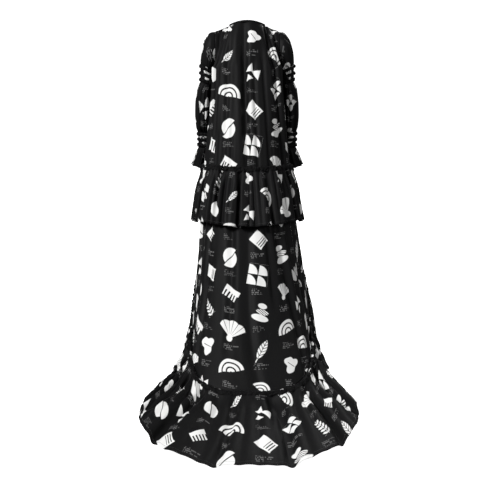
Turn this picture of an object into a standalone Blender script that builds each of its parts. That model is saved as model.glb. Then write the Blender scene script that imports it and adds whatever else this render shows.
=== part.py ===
"""A worn maxi dress: trapeze bodice, gathered peplum, trained skirt with a gathered flounce, bishop sleeves
with ruched bands and flared cuffs. The cloth keeps the hollow form it has on a wearer.

Metres, +Z up. The origin is the centre of the neck at the height of the back neck edge, +Y is the wearer's
front, and the floor that the hem reaches lies FLOOR below the origin.
"""

import math
from typing import NamedTuple

import bmesh
import bpy
import numpy as np

# Driving dimensions
FLOOR = -1.470            # the floor under the hem
HEM_CLEAR = 0.0015        # the hem's edge above the floor
WALL = 0.0016             # cloth thickness
SEAM_GAP = 0.0003         # between sewn pieces
CUFF_GAP = 0.0009         # between the sleeve's end and the cuff
LAYER_GAP = 0.0013        # between a trim and the gathered cloth under it
HEADER_GAP = 0.0068       # between the flounce's trim and its gathers
FLOUNCE_DROP = 0.0016     # the flounce's edge below the skirt's, clear where the cloth bends
HIP_DROP = 0.0008         # the skirt's edge below the hip seam
SIDE_SHARE = 0.56         # side seam, as a share of half the girth from centre back
SIDE_GAP_SHARE = 0.001    # half of the side seam's gap, as the same share

NECK_HALF = 0.082         # neck edge, centre to shoulder seam
NECK_BACK = 0.062
NECK_FRONT = 0.105
NECK_SIDE_DROP = 0.018
NECK_FRONT_DROP = 0.085
SHOULDER_HALF = 0.150     # centre to armhole at the shoulder seam
SHOULDER_DROP = 0.044
ARMHOLE_BACK = 0.050      # how far the armhole curves to the back and front
ARMHOLE_FRONT = 0.052
ARMHOLE_LIFT = 0.0021     # the sleeve's head past the armhole's edge, clear of the panel's rim,
UNDERARM_LIFT = 0.0036    # and further at the underarm, where the panel's wall faces it
BINDING_LIFT = 0.0022     # the binding's inner edge over the panels' inner face
BINDING_HEIGHT = 0.006
BINDING_THICK = 0.0022

PEPLUM_HEADING = 0.010    # how far the peplum's gathered edge stands above the hip seam
HEADING_FROM = 0.9        # the bodice section that the heading leans towards
HEADING_TO = 0.08         # and the skirt section, below the seam
PEPLUM_LIFT = 0.0036      # the gathered edge over the bodice, clear of its facets
PEPLUM_WAVES = 24
PEPLUM_WAVE = 0.011       # half of a wave's depth at the hem
PEPLUM_GATHER = 0.0015    # half of a gather's depth at the seam
PEPLUM_WARP = 0.10        # unevenness of the waves' spacing, and where it starts
PEPLUM_SEED = 0.2
FLOUNCE_WAVES = 18
FLOUNCE_WAVE = 0.0095
FLOUNCE_WAVE_FROM = 0.625 # the share of the flounce below which its waves are full
FLOUNCE_GATHER = 0.003
FLOUNCE_WARP = 0.12
FLOUNCE_SEED = 0.6
WAVE_GROWTH = 0.8         # power by which waves deepen on the way down
CUFF_WAVES = 8
CUFF_WAVE = 0.005
CUFF_WARP = 0.6
CUFF_FLARE = 0.85         # power by which a cuff widens on the way down
BAND_HEIGHT = 0.017
BAND_THICK = 0.0065       # from the cloth under a ruched band to the crest of a tuck
BAND_TUCK = 0.0025        # from crest to dip of a tuck
CREST_SHARE = 0.62        # height of a ruched trim's crest, as a share of its base
HEADER_SPAN = (0.15, 0.70)  # the flounce's trim, as shares of the flounce's first row

BODICE_COLUMNS = 24
BODICE_RING_ROWS = 7
BODICE_YOKE_ROWS = 5
SHOULDER_COLUMNS = 5      # of half the columns, those along the shoulder seam
SKIRT_ROUND = 72
SKIRT_ROWS = 7
PEPLUM_ROUND = 96
PEPLUM_ROWS = 4
FLOUNCE_ROWS = 7
SLEEVE_ROUND = 16
CUFF_ROUND = 32
CUFF_ROWS = 4
BINDING_ROUND = 40
DENSE = 361               # points on half a ring, from which even ones are read


class Section(NamedTuple):
    """A ring round the body. y runs to the front; squareness 2 is an ellipse, more is boxier."""

    front: float
    widest: float
    back: float
    half: float
    sway: float
    square_front: float
    square_back: float
    z_front: float
    z_side: float
    z_back: float


BODICE_SECTIONS = (
    Section(0.135, -0.080, -0.141, 0.161, 0.000, 1.80, 2.2, -0.225, -0.205, -0.195),
    Section(0.140, -0.085, -0.170, 0.166, 0.000, 1.80, 2.2, -0.310, -0.300, -0.292),
    Section(0.146, -0.085, -0.208, 0.179, 0.000, 1.80, 2.2, -0.425, -0.415, -0.395),
    Section(0.155, -0.072, -0.256, 0.193, 0.000, 1.85, 2.2, -0.545, -0.550, -0.515),
    Section(0.165, -0.055, -0.305, 0.210, 0.000, 1.95, 2.2, -0.670, -0.688, -0.641),
)
SKIRT_SECTIONS = (
    BODICE_SECTIONS[-1],
    Section(0.176, -0.085, -0.407, 0.222, 0.003, 2.05, 2.3, -0.770, -0.800, -0.870),
    Section(0.186, -0.140, -0.546, 0.236, 0.008, 2.20, 2.5, -0.870, -0.925, -1.079),
    Section(0.194, -0.230, -0.703, 0.252, 0.014, 2.40, 2.8, -0.970, -1.080, -1.274),
    Section(0.202, -0.350, -0.900, 0.272, 0.018, 2.60, 3.2, -1.070, -1.280, -1.425),
)
PEPLUM_SECTIONS = (
    BODICE_SECTIONS[-1],
    Section(0.190, -0.060, -0.350, 0.238, 0.000, 2.0, 2.2, -0.755, -0.775, -0.722),
    Section(0.209, -0.062, -0.392, 0.250, 0.001, 2.0, 2.2, -0.840, -0.865, -0.798),
    Section(0.224, -0.065, -0.432, 0.262, 0.002, 2.0, 2.2, -0.925, -0.955, -0.875),
)
HEM_LEVEL = FLOOR + HEM_CLEAR
HEM_SECTION = Section(0.255, -0.930, -1.312, 0.426, 0.008, 2.40, 1.95, HEM_LEVEL, HEM_LEVEL, HEM_LEVEL)
HEM_PINCH = (0.42, 0.27)  # the hem draws in between the feet and the train, on the left and the right
HEM_PINCH_AT = -0.40
HEM_PINCH_REACH = 0.42
LANDING_EASE = 1.35       # length of cloth that curves to the floor, for each metre that it falls,
LANDING_LEAST = 0.12      # and the share of the flounce that is added to it
LANDING_BEND = 1.6
LANDING_STEEP = 0.98      # over this share the cloth hangs straight to the hem
LANDING_RUN = 0.15        # least share of a step of cloth that runs level
LANDING_STEPS = 80        # even steps of cloth, from which the rows are read


class Fold(NamedTuple):
    """A soft trough. at is a share of half the girth from centre back, below 0 on the wearer's left."""

    at: float
    width: float
    top_depth: float
    hem_depth: float


BODICE_FOLDS = (
    Fold(-0.34, 0.040, 0.006, 0.012),
    Fold(-0.02, 0.035, 0.005, 0.010),
    Fold(0.25, 0.035, 0.005, 0.012),
    Fold(0.42, 0.035, 0.004, 0.008),
    Fold(-0.80, 0.040, 0.003, 0.009),
    Fold(0.97, 0.040, 0.003, 0.008),
    Fold(0.76, 0.040, 0.003, 0.010),
)
SKIRT_FOLDS = (
    Fold(-0.58, 0.045, 0.008, 0.012),
    Fold(-0.36, 0.045, 0.011, 0.026),
    Fold(-0.10, 0.040, 0.006, 0.006),
    Fold(0.16, 0.040, 0.007, 0.008),
    Fold(0.36, 0.045, 0.011, 0.024),
    Fold(0.56, 0.045, 0.008, 0.014),
    Fold(-0.82, 0.045, 0.007, 0.014),
    Fold(0.80, 0.045, 0.007, 0.014),
    Fold(1.00, 0.045, 0.006, 0.010),
)
BODICE_FOLDS_END = 0.40   # how far down the skirt the bodice's folds reach
SKIRT_FOLD_RATE = 1.15    # the skirt's folds ease in from the hip
SKIRT_FOLD_END = 0.90     # and out again by the flounce seam


class SleeveRow(NamedTuple):
    """A ring of the sleeve: its outer and inner points, half its depth front to back, and its centre's y."""

    outer_x: float
    outer_z: float
    inner_x: float
    inner_z: float
    depth: float
    centre_y: float


HEAD_ROWS = (
    SleeveRow(0.176, -0.049, 0.1560, -0.2085, 0.060, 0.002),
    SleeveRow(0.201, -0.080, 0.1570, -0.2110, 0.060, 0.005),
    SleeveRow(0.217, -0.130, 0.1580, -0.2140, 0.056, 0.008),
    SleeveRow(0.222, -0.168, 0.1590, -0.2170, 0.051, 0.010),
)
FOREARM_ROWS = (
    SleeveRow(0.241, -0.305, 0.165, -0.312, 0.055, 0.022),
    SleeveRow(0.252, -0.370, 0.167, -0.374, 0.059, 0.030),
    SleeveRow(0.256, -0.440, 0.171, -0.443, 0.057, 0.040),
    SleeveRow(0.253, -0.490, 0.176, -0.492, 0.049, 0.047),
)
UPPER_BANDS = (           # the sleeve at the middle of each ruched band
    SleeveRow(0.222, -0.197, 0.1610, -0.2290, 0.0460, 0.012),
    SleeveRow(0.223, -0.229, 0.1630, -0.2540, 0.0460, 0.014),
    SleeveRow(0.224, -0.260, 0.1645, -0.2800, 0.0460, 0.016),
)
WRIST_BANDS = (
    SleeveRow(0.245, -0.524, 0.182, -0.525, 0.036, 0.055),
    SleeveRow(0.245, -0.553, 0.183, -0.554, 0.034, 0.059),
    SleeveRow(0.245, -0.582, 0.184, -0.583, 0.033, 0.063),
)
WRIST_END = SleeveRow(0.246, -0.5935, 0.183, -0.5945, 0.034, 0.065)
CUFF_HEM = SleeveRow(0.279, -0.690, 0.210, -0.700, 0.050, 0.092)
PUFF = SleeveRow(0.005, 0.0, -0.0015, 0.0, 0.005, 0.0)  # added between two bands

MATERIALS = {             # name: colour, roughness
    "printed_cloth": ((0.022, 0.022, 0.023, 1.0), 0.82),
    "ruched_trim": ((0.012, 0.012, 0.013, 1.0), 0.62),
}


def smooth(table, fraction):
    """The row of a table at a fraction of its length, on a curve through its rows."""
    rows = np.array(table, float)
    place = min(max(fraction, 0.0), 1.0) * (len(rows) - 1)
    first = min(int(place), len(rows) - 2)
    part = place - first
    start, end = rows[first], rows[first + 1]
    slope_in = (end - rows[first - 1]) / 2 if first else end - start
    slope_out = (rows[first + 2] - start) / 2 if first + 2 < len(rows) else end - start
    square, cube = part**2, part**3
    return (
        (2 * cube - 3 * square + 1) * start
        + (cube - 2 * square + part) * slope_in
        + (3 * square - 2 * cube) * end
        + (cube - square) * slope_out
    )


def half_ring(section, pinch):
    """Dense points on the right half of a section, from centre back to centre front."""
    s = Section(*section)
    angle = np.linspace(0.0, math.pi, DENSE)
    behind = np.cos(angle)
    power = np.where(behind > 0, 2 / s.square_back, 2 / s.square_front)
    along = np.abs(behind) ** power
    across = np.abs(np.sin(angle)) ** power
    y = s.widest + np.where(behind > 0, s.back - s.widest, s.front - s.widest) * along
    drop_back = 1 - (1 - along) ** 2
    z = s.z_side + np.where(behind > 0, (s.z_back - s.z_side) * drop_back, (s.z_front - s.z_side) * along)
    draw_in = 1 - pinch * np.exp(-(((y - HEM_PINCH_AT) / HEM_PINCH_REACH) ** 4))
    return np.stack([s.half * across * draw_in, y, z], axis=1)


def ring(section, shares, pinch=(0.0, 0.0)):
    """Points at shares of half the girth from centre back, below 0 on the left, evenly along the cloth."""
    shares = np.asarray(shares, float)
    halves = []
    for part in pinch:
        dense = half_ring(section, part)
        length = np.r_[0.0, np.cumsum(np.linalg.norm(np.diff(dense, axis=0), axis=1))]
        length /= length[-1]
        halves.append(np.stack([np.interp(np.abs(shares), length, dense[:, i]) for i in range(3)], axis=1))
    points = np.where(shares[:, None] < 0, halves[0], halves[1])
    points[:, 0] = points[:, 0] * np.sign(shares) + Section(*section).sway
    return points


def round_shares(count):
    """Even shares once round, from centre back."""
    turn = np.arange(count) / count
    return np.where(turn <= 0.5, 2 * turn, 2 * turn - 2)


def crossed(grid, closed):
    """Unit normals of a grid, by its columns and then its rows, and the sign that turns them outwards."""
    if closed:
        across = np.gradient(np.pad(grid, ((0, 0), (1, 1), (0, 0)), mode="wrap"), axis=1)[:, 1:-1]
    else:
        across = np.gradient(grid, axis=1)
    normal = np.cross(across, np.gradient(grid, axis=0))
    normal /= np.maximum(np.linalg.norm(normal, axis=2, keepdims=True), 1e-12)
    away = grid - grid.mean(axis=1, keepdims=True)
    return normal, math.copysign(1.0, float((normal * away).sum()))


def outward(grid, closed):
    """Unit normals of a grid, pointing out of the garment."""
    normal, sign = crossed(grid, closed)
    return normal * sign


def shifted(grid, depth, closed):
    """The grid moved along its normals by a depth for each point."""
    return grid + outward(grid, closed) * np.asarray(depth)[..., None]


def seam_row(row, depth, closed):
    """A seam's points moved level, so that the pieces on either side of it stay a gap apart."""
    moved = outward(np.array([row, row - [0.0, 0.0, 0.01]]), closed)[0]
    moved[:, 2] = 0.0
    return row + moved / np.linalg.norm(moved, axis=1, keepdims=True) * np.asarray(depth)[:, None]


def fold_depths(folds, shares, fractions):
    """How far the soft troughs push each point in: a row for each fraction of the way down."""
    shares = np.asarray(shares)[None, :]
    fractions = np.asarray(fractions)[:, None]
    depth = np.zeros((fractions.shape[0], shares.shape[1]))
    for fold in folds:
        apart = (shares - fold.at + 1) % 2 - 1
        deepest = fold.top_depth + (fold.hem_depth - fold.top_depth) * fractions
        depth -= deepest * np.exp(-((apart / fold.width) ** 2))
    return depth


def patch(bottom, top, left, right):
    """A patch between four edges that meet at their ends; the side edges' own curve dies away inwards."""
    down = np.linspace(0.0, 1.0, len(left))[:, None, None]
    over = np.linspace(0.0, 1.0, len(top))[None, :, None]
    loft = (1 - down) * top[None] + down * bottom[None]
    return loft + (1 - over) ** 3 * (left[:, None] - loft[:, :1]) + over**3 * (right[:, None] - loft[:, -1:])


def armhole(angles, side):
    """The armhole's edge: angle 0 is the shoulder point, pi the underarm, positive angles are in front."""
    under = ring(BODICE_SECTIONS[0], [SIDE_SHARE])[0]
    tip = np.array([SHOULDER_HALF, 0.0, -SHOULDER_DROP])
    angles = np.asarray(angles, float)
    depth = np.where(np.sin(angles) > 0, ARMHOLE_FRONT, ARMHOLE_BACK) * np.sin(angles)
    points = (tip + under) / 2 + np.cos(angles)[:, None] * (tip - under) / 2
    points[:, 1] += depth
    points[:, 0] *= side
    return points


def neck_edge(angle, front):
    """A point on the neck edge; the angle runs from the shoulder seam, 0, to the centre, a right angle."""
    y = NECK_FRONT if front else -NECK_BACK
    drop = NECK_SIDE_DROP + (NECK_FRONT_DROP - NECK_SIDE_DROP) * math.sin(angle) ** 1.5
    if not front:
        drop = NECK_SIDE_DROP * math.cos(angle) ** 2
    return (NECK_HALF * math.cos(angle), y * math.sin(angle), -drop)


def panel_top(columns, front):
    """Shoulder seam, neck edge and shoulder seam, from the wearer's left to right."""
    half = columns // 2
    neck = half - SHOULDER_COLUMNS
    seam = [
        np.array([SHOULDER_HALF, 0.0, -SHOULDER_DROP]) * (1 - i / SHOULDER_COLUMNS)
        + np.array([NECK_HALF, 0.0, -NECK_SIDE_DROP]) * (i / SHOULDER_COLUMNS)
        for i in range(SHOULDER_COLUMNS)
    ]
    edge = [np.array(neck_edge(math.pi / 2 * i / neck, front)) for i in range(neck + 1)]
    right = np.array(seam + edge)
    right[:, 1] += SEAM_GAP / 2 * (1 if front else -1)
    left = right * np.array([-1.0, 1.0, 1.0])
    return np.vstack([left[:-1], right[::-1]])


def bodice_panel(front, columns=BODICE_COLUMNS, ring_rows=BODICE_RING_ROWS, yoke_rows=BODICE_YOKE_ROWS):
    """The inner face of a bodice panel, from the neck to the hip seam."""
    side = SIDE_SHARE + SIDE_GAP_SHARE * (1 if front else -1)
    if front:
        shares = np.linspace(side - 1, 1 - side, columns + 1)
        shares = np.where(shares > 0, 1 - shares, -1 - shares)
        shares[columns // 2] = 1.0
    else:
        shares = np.linspace(-side, side, columns + 1)
    fractions = np.linspace(0.0, 1.0, ring_rows + 1)
    lower = np.array([ring(smooth(BODICE_SECTIONS, f), shares) for f in fractions])
    lower[-1, :, 2] += SEAM_GAP / 2
    angles = np.linspace(0.0, math.pi, yoke_rows + 1) * (1 if front else -1)
    top = panel_top(columns, front)
    left, right = armhole(angles, -1), armhole(angles, 1)
    left[0], right[0] = top[0], top[-1]
    left[-1], right[-1] = lower[0, 0], lower[0, -1]
    yoke = patch(lower[0], top, left, right)
    grid = np.vstack([yoke[:-1], lower])
    depths = np.vstack([
        fold_depths(BODICE_FOLDS, shares, [0.0]) * np.linspace(0.0, 1.0, yoke_rows + 1)[:-1, None] ** 2,
        fold_depths(BODICE_FOLDS, shares, fractions),
    ])
    moved = shifted(grid, depths, False)
    moved[-1] = seam_row(grid[-1], depths[-1], False)
    return moved


def skirt_grid(round_count=SKIRT_ROUND, rows=SKIRT_ROWS):
    """The inner face of the skirt, from the hip seam to the flounce seam."""
    shares = round_shares(round_count)
    fractions = np.linspace(0.0, 1.0, rows + 1)
    grid = np.array([ring(smooth(SKIRT_SECTIONS, f), shares) for f in fractions])
    grid[0, :, 2] -= HIP_DROP
    easing = np.sin(np.minimum(fractions * SKIRT_FOLD_RATE, SKIRT_FOLD_END) * math.pi)[:, None]
    from_bodice = np.maximum(1 - fractions / BODICE_FOLDS_END, 0.0)[:, None]
    depths = fold_depths(SKIRT_FOLDS, shares, fractions) * easing
    depths += fold_depths(BODICE_FOLDS, shares, [1.0]) * from_bodice
    moved = shifted(grid, depths, True)
    moved[0] = seam_row(grid[0], depths[0], True)
    return moved


def waves(shares, count, warp, seed):
    """A wave for each ruffle fold, from -1 to 1, uneven in spacing."""
    turn = np.asarray(shares) / 2
    shift = warp * (np.sin(2 * math.pi * (3 * turn + seed)) + np.sin(2 * math.pi * (5 * turn + 2.3 * seed)))
    return np.cos(2 * math.pi * (count * turn + shift))


def peplum_grid(round_count=PEPLUM_ROUND, rows=PEPLUM_ROWS):
    """The inner face of the peplum; its first two rows are the heading over the hip seam."""
    shares = round_shares(round_count)
    fractions = np.linspace(0.0, 1.0, rows + 1)
    grid = np.array([ring(smooth(PEPLUM_SECTIONS, f), shares) for f in fractions])
    heading = ring(smooth(BODICE_SECTIONS, HEADING_FROM), shares)
    below = ring(smooth(SKIRT_SECTIONS, HEADING_TO), shares)
    seam = grid[0]
    edges = [
        seam + PEPLUM_HEADING * (way - seam) / np.linalg.norm(way - seam, axis=1, keepdims=True)
        for way in (heading, below)
    ]
    grid = np.vstack([np.array(edges), grid[1:]])
    wave = waves(shares, PEPLUM_WAVES, PEPLUM_WARP, PEPLUM_SEED)
    gather = np.where(np.arange(round_count) % 2, 1.0, -1.0)
    share = np.r_[0.0, 0.0, fractions[1:]][:, None]
    body = fold_depths(BODICE_FOLDS, shares, [1.0]) * (1 - share)
    lift = WALL + PEPLUM_LIFT + PEPLUM_GATHER
    depth = body + lift + gather * PEPLUM_GATHER * (1 - share) ** 2 + wave * PEPLUM_WAVE * share**WAVE_GROWTH
    return shifted(grid, depth, True)


def fall(seam, hem, rows):
    """Rows of cloth from the seam, down to the floor and on along it to the hem, and the way down of each."""
    height = seam[:, 2] - hem[:, 2]
    length = np.linalg.norm(hem - seam, axis=1)
    land = np.clip(LANDING_LEAST + LANDING_EASE * height / length, 0.0, 1.0)
    fine = np.linspace(0.0, 1.0, LANDING_STEPS + 1)[:, None]
    drop = height * (1 - np.minimum(fine / land, 1.0)) ** LANDING_BEND
    drop = np.where(land > LANDING_STEEP, height * (1 - fine), drop)
    step = np.diff(fine, axis=0) * length
    level = np.sqrt(np.maximum(step**2 - np.diff(drop, axis=0) ** 2, (LANDING_RUN * step) ** 2))
    way = np.vstack([np.zeros_like(height), np.cumsum(level, axis=0)])
    way /= way[-1]
    picks = np.linspace(0, LANDING_STEPS, rows + 1).round().astype(int)
    picks[1] //= 2
    flat = seam[None, :, :2] + (hem - seam)[None, :, :2] * way[picks][:, :, None]
    return np.dstack([flat, hem[None, :, 2] + drop[picks]]), fine[picks][:, 0]


def flounce_grid(round_count=SKIRT_ROUND, rows=FLOUNCE_ROWS):
    """The inner face of the flounce, from its gathered edge to the hem on the floor."""
    shares = round_shares(round_count)
    seam = ring(SKIRT_SECTIONS[-1], shares)
    hem = ring(HEM_SECTION, shares, HEM_PINCH)
    grid, fractions = fall(seam, hem, rows)
    along = grid[1] - grid[0]
    grid[0] += along / np.linalg.norm(along, axis=1, keepdims=True) * FLOUNCE_DROP
    share = fractions[:, None]
    wave = waves(shares, FLOUNCE_WAVES, FLOUNCE_WARP, FLOUNCE_SEED)
    gather = np.where(np.arange(round_count) % 2, 1.0, -1.0)
    depth = FLOUNCE_GATHER * (1 + gather) * (1 - share) ** 3
    depth = depth + FLOUNCE_WAVE * (1 + wave) * np.minimum(share / FLOUNCE_WAVE_FROM, 1.0) ** WAVE_GROWTH
    moved = shifted(grid, depth, True)
    moved[..., 2] = np.maximum(moved[..., 2], HEM_LEVEL)
    return moved


def header_rows(grid):
    """The two edges of the trim just below the flounce's gathered edge."""
    return np.array([grid[0] + (grid[1] - grid[0]) * share for share in HEADER_SPAN])


def sleeve_ring(row, angles, side):
    """A sleeve ring: angle 0 is its outer or top point, pi its inner point, positive angles in front."""
    r = SleeveRow(*row)
    outer, inner = np.array([r.outer_x, 0.0, r.outer_z]), np.array([r.inner_x, 0.0, r.inner_z])
    points = (outer + inner) / 2 + np.cos(angles)[:, None] * (outer - inner) / 2
    points[:, 1] = r.centre_y + r.depth * np.sin(angles)
    points[:, 0] *= side
    return points


def band_rows(group):
    """The sleeve rows of a group of bands, a puff between two bands, and the place of each upper edge."""
    steps = np.gradient(np.array(group, float), axis=0)
    rows, places = [], []
    for row, step in zip(group, steps):
        reach = np.zeros(len(row))
        reach[1] = BAND_HEIGHT / 2
        reach[3] = reach[1] * min(step[3] / step[1], 1.0)
        if rows:
            rows.append((rows[-1] + row + reach) / 2 + PUFF)
        places.append(len(rows))
        rows += [row + reach, row - reach]
    return rows, places


def sleeve_rows():
    """All rows of a sleeve from below the armhole to the wrist, and the place of each band's upper edge."""
    upper, upper_places = band_rows(UPPER_BANDS)
    wrist, wrist_places = band_rows(WRIST_BANDS)
    above = [*HEAD_ROWS, *upper, *FOREARM_ROWS]
    places = [len(HEAD_ROWS) + place for place in upper_places]
    places += [len(above) + place for place in wrist_places]
    return [*above, *wrist, WRIST_END], places


def round_angles(count, side):
    """Even angles once round a sleeve, mirrored on the left."""
    return np.arange(count) / count * 2 * math.pi * side


def sleeve_grid(side, round_count=SLEEVE_ROUND):
    """The inner face of a sleeve, from the armhole to the wrist."""
    angles = round_angles(round_count, side)
    rows, _ = sleeve_rows()
    head = armhole(angles, side)
    under = (1 - np.cos(angles)) / 2
    head[:, 0] += side * (ARMHOLE_LIFT + UNDERARM_LIFT * under**2)
    return np.array([head] + [sleeve_ring(row, angles, side) for row in rows])


def cuff_grid(side, round_count=CUFF_ROUND, rows=CUFF_ROWS):
    """The inner face of a gathered cuff."""
    angles = round_angles(round_count, side)
    start = np.array(WRIST_END, float) - np.array([0.0, CUFF_GAP, 0.0, CUFF_GAP, 0.0, 0.0])
    fractions = np.linspace(0.0, 1.0, rows + 1)
    flare = fractions**CUFF_FLARE
    grid = []
    for f, wide in zip(fractions, flare):
        row = start + (np.array(CUFF_HEM, float) - start) * np.array([wide, f, wide, f, wide, f])
        grid.append(sleeve_ring(row, angles, side))
    wave = np.cos(CUFF_WAVES * angles + CUFF_WARP * np.sin(2 * angles))
    return shifted(np.array(grid), (1 + wave) * CUFF_WAVE * fractions[:, None], True)


def new_mesh(name, points, faces, closed=False):
    """A mesh object from points and faces; a closed one has its faces turned outwards."""
    mesh = bpy.data.meshes.new(name)
    shape = bmesh.new()
    vertices = [shape.verts.new(point) for point in points]
    for face in faces:
        shape.faces.new([vertices[i] for i in face])
    if closed:
        bmesh.ops.recalc_face_normals(shape, faces=shape.faces[:])
    shape.to_mesh(mesh)
    shape.free()
    thing = bpy.data.objects.new(name, mesh)
    mesh.shade_smooth()
    return thing


def cloth(name, grid, closed):
    """A cloth wall: an open sheet on the inner face, given its thickness outwards."""
    rows, columns = grid.shape[:2]
    _, sign = crossed(grid, closed)
    faces = []
    for row in range(rows - 1):
        for column in range(columns if closed else columns - 1):
            after = (column + 1) % columns
            low, high = row * columns, (row + 1) * columns
            face = [low + column, low + after, high + after, high + column]
            faces.append(face if sign > 0 else face[::-1])
    thing = new_mesh(name, grid.reshape(-1, 3), faces)
    wall = thing.modifiers.new("Cloth thickness", "SOLIDIFY")
    wall.thickness = WALL
    wall.offset = 1.0
    wall.use_even_offset = True
    wall.thickness_clamp = 2.0
    return thing


def tube_of_rings(name, rings):
    """A closed solid between rings of points, each joined to the next and the last to the first."""
    count = len(rings[0])
    faces = []
    for k in range(len(rings)):
        low, high = k * count, (k + 1) % len(rings) * count
        for j in range(count):
            after = (j + 1) % count
            faces.append([low + j, low + after, high + after, high + j])
    return new_mesh(name, np.vstack(rings), faces, closed=True)


def ruched_ring(name, inner, gap=LAYER_GAP):
    """A ruched trim round two rows of cloth: tucked crests over an even inner face."""
    normal = outward(inner, True)
    base = inner + normal * (WALL + gap)
    rise = BAND_THICK - BAND_TUCK * (np.arange(inner.shape[1]) % 2)
    crest = base + normal * rise[None, :, None]
    middle = (crest[0] + crest[1]) / 2
    crest = middle[None] + (crest - middle[None]) * CREST_SHARE
    return tube_of_rings(name, [base[0], base[1], crest[1], crest[0]])


def neck_binding():
    """A narrow band that stands on the neck edge of both panels."""
    angles = np.arange(BINDING_ROUND) / BINDING_ROUND * 2 * math.pi
    edge = []
    for angle in angles:
        front = math.sin(angle) > 0
        x, y, z = neck_edge(math.asin(min(1.0, abs(math.sin(angle)))), front)
        edge.append((math.copysign(x, math.cos(angle)), y, z))
    edge = np.array(edge) + np.array([0.0, 0.0, BINDING_LIFT])
    out = edge * np.array([1.0, 1.0, 0.0])
    out /= np.linalg.norm(out, axis=1, keepdims=True)
    up = np.array([0.0, 0.0, BINDING_HEIGHT])
    thick = out * BINDING_THICK
    return tube_of_rings("neck_binding", [edge, edge + up, edge + up + thick, edge + thick])


def material(name):
    """A Principled material with the piece's colour and roughness."""
    colour, roughness = MATERIALS[name]
    made = bpy.data.materials.new(name)
    made.use_nodes = True
    shader = made.node_tree.nodes["Principled BSDF"]
    shader.inputs["Base Color"].default_value = colour
    shader.inputs["Roughness"].default_value = roughness
    shader.inputs["Metallic"].default_value = 0.0
    made.diffuse_color = colour
    return made


def build():
    """All pieces, each with the finish it has."""
    printed, ruched = material("printed_cloth"), material("ruched_trim")
    pieces = [
        (cloth("bodice_back", bodice_panel(False), False), printed),
        (cloth("bodice_front", bodice_panel(True), False), printed),
        (cloth("skirt", skirt_grid(), True), printed),
        (cloth("peplum", peplum_grid(), True), printed),
        (cloth("flounce", flounce_grid(), True), printed),
        (ruched_ring("hip_ruching", peplum_grid()[:2]), ruched),
        (ruched_ring("flounce_ruching", header_rows(flounce_grid()), HEADER_GAP), ruched),
        (neck_binding(), ruched),
    ]
    for side, word in ((1, "right"), (-1, "left")):
        sleeve = sleeve_grid(side)
        pieces.append((cloth(f"sleeve_{word}", sleeve, True), printed))
        pieces.append((cloth(f"cuff_{word}", cuff_grid(side), True), printed))
        for number, first in enumerate(sleeve_rows()[1]):
            part = "arm" if number < len(UPPER_BANDS) else "wrist"
            place = number % len(UPPER_BANDS) + 1
            rows = sleeve[first + 1:first + 3]
            pieces.append((ruched_ring(f"{part}_band_{place}_{word}", rows), ruched))
    return pieces


def main():
    """Clears the scene and models the dress in its own collection."""
    for thing in list(bpy.data.objects):
        bpy.data.objects.remove(thing, do_unlink=True)
    dress = bpy.data.collections.new("maxi_dress")
    bpy.context.scene.collection.children.link(dress)
    for thing, finish in build():
        thing.data.materials.append(finish)
        dress.objects.link(thing)


main()
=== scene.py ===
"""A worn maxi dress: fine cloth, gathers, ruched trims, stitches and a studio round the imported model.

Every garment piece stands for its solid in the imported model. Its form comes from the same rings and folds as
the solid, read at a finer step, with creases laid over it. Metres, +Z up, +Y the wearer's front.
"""

import enum
import functools
import logging
import math
from collections.abc import Callable, Sequence
from dataclasses import dataclass, field
from typing import NamedTuple

import bmesh
import bpy
import numpy as np
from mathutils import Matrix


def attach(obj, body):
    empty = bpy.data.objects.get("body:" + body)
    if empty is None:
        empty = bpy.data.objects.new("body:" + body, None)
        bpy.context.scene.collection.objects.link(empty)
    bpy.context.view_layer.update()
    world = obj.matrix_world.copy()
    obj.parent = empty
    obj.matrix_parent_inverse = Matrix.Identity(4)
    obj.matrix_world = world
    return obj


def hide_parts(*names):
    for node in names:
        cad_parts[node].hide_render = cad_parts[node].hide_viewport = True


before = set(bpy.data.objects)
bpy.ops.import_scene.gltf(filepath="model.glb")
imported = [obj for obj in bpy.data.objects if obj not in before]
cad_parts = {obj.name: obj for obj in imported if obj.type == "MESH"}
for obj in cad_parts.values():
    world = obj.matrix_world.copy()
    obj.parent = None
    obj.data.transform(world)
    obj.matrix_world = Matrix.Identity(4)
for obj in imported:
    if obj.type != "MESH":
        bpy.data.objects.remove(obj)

Array = np.ndarray
Colour = tuple[float, float, float]
Place = tuple[float, float, float]
log = logging.getLogger("maxi_dress")

FLOOR = -1.470
BODY = "root"

# Where the hem draws in between the feet and the train, and over what length.
PINCH_Y = -0.40
PINCH_REACH = 0.42
# The soft shoulders beside a fold: their place in widths of the fold, and their rise as a share of its depth.
SHOULDER_PLACE = 1.9
SHOULDER_RISE = 0.22
# Gathers: their unevenness in place and lean, in steps from one to the next, the range of their depths and of
# their lengths in metres, their width as a share of a step, and the bulge of the cloth between them.
GATHER_SHIFT = 0.32
GATHER_LEAN = 0.10
GATHER_DEPTH = (0.45, 1.0)
GATHER_REACH = (0.022, 0.110)
GATHER_WIDTH = 0.25
GATHER_BULGE = 0.45


class Section(NamedTuple):
    """A ring round the body. y runs to the front; squareness 2 is an ellipse, more is boxier."""

    front: float
    widest: float
    back: float
    half: float
    sway: float
    square_front: float
    square_back: float
    z_front: float
    z_side: float
    z_back: float


class Fold(NamedTuple):
    """A soft trough down a piece. at is a share of half the girth from centre back, below 0 on the left."""

    at: float
    width: float
    top_depth: float
    hem_depth: float


class Crease(NamedTuple):
    """A trough, or a ridge where depth is below 0, between two places on a piece.

    at and down are its upper end, as a share of half the girth and a share of the way down; to and end are its
    lower end. width and depth are in metres, and bow bends it sideways, as a share of half the girth.
    """

    at: float
    down: float
    to: float
    end: float
    width: float
    depth: float
    bow: float = 0.0


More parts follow.
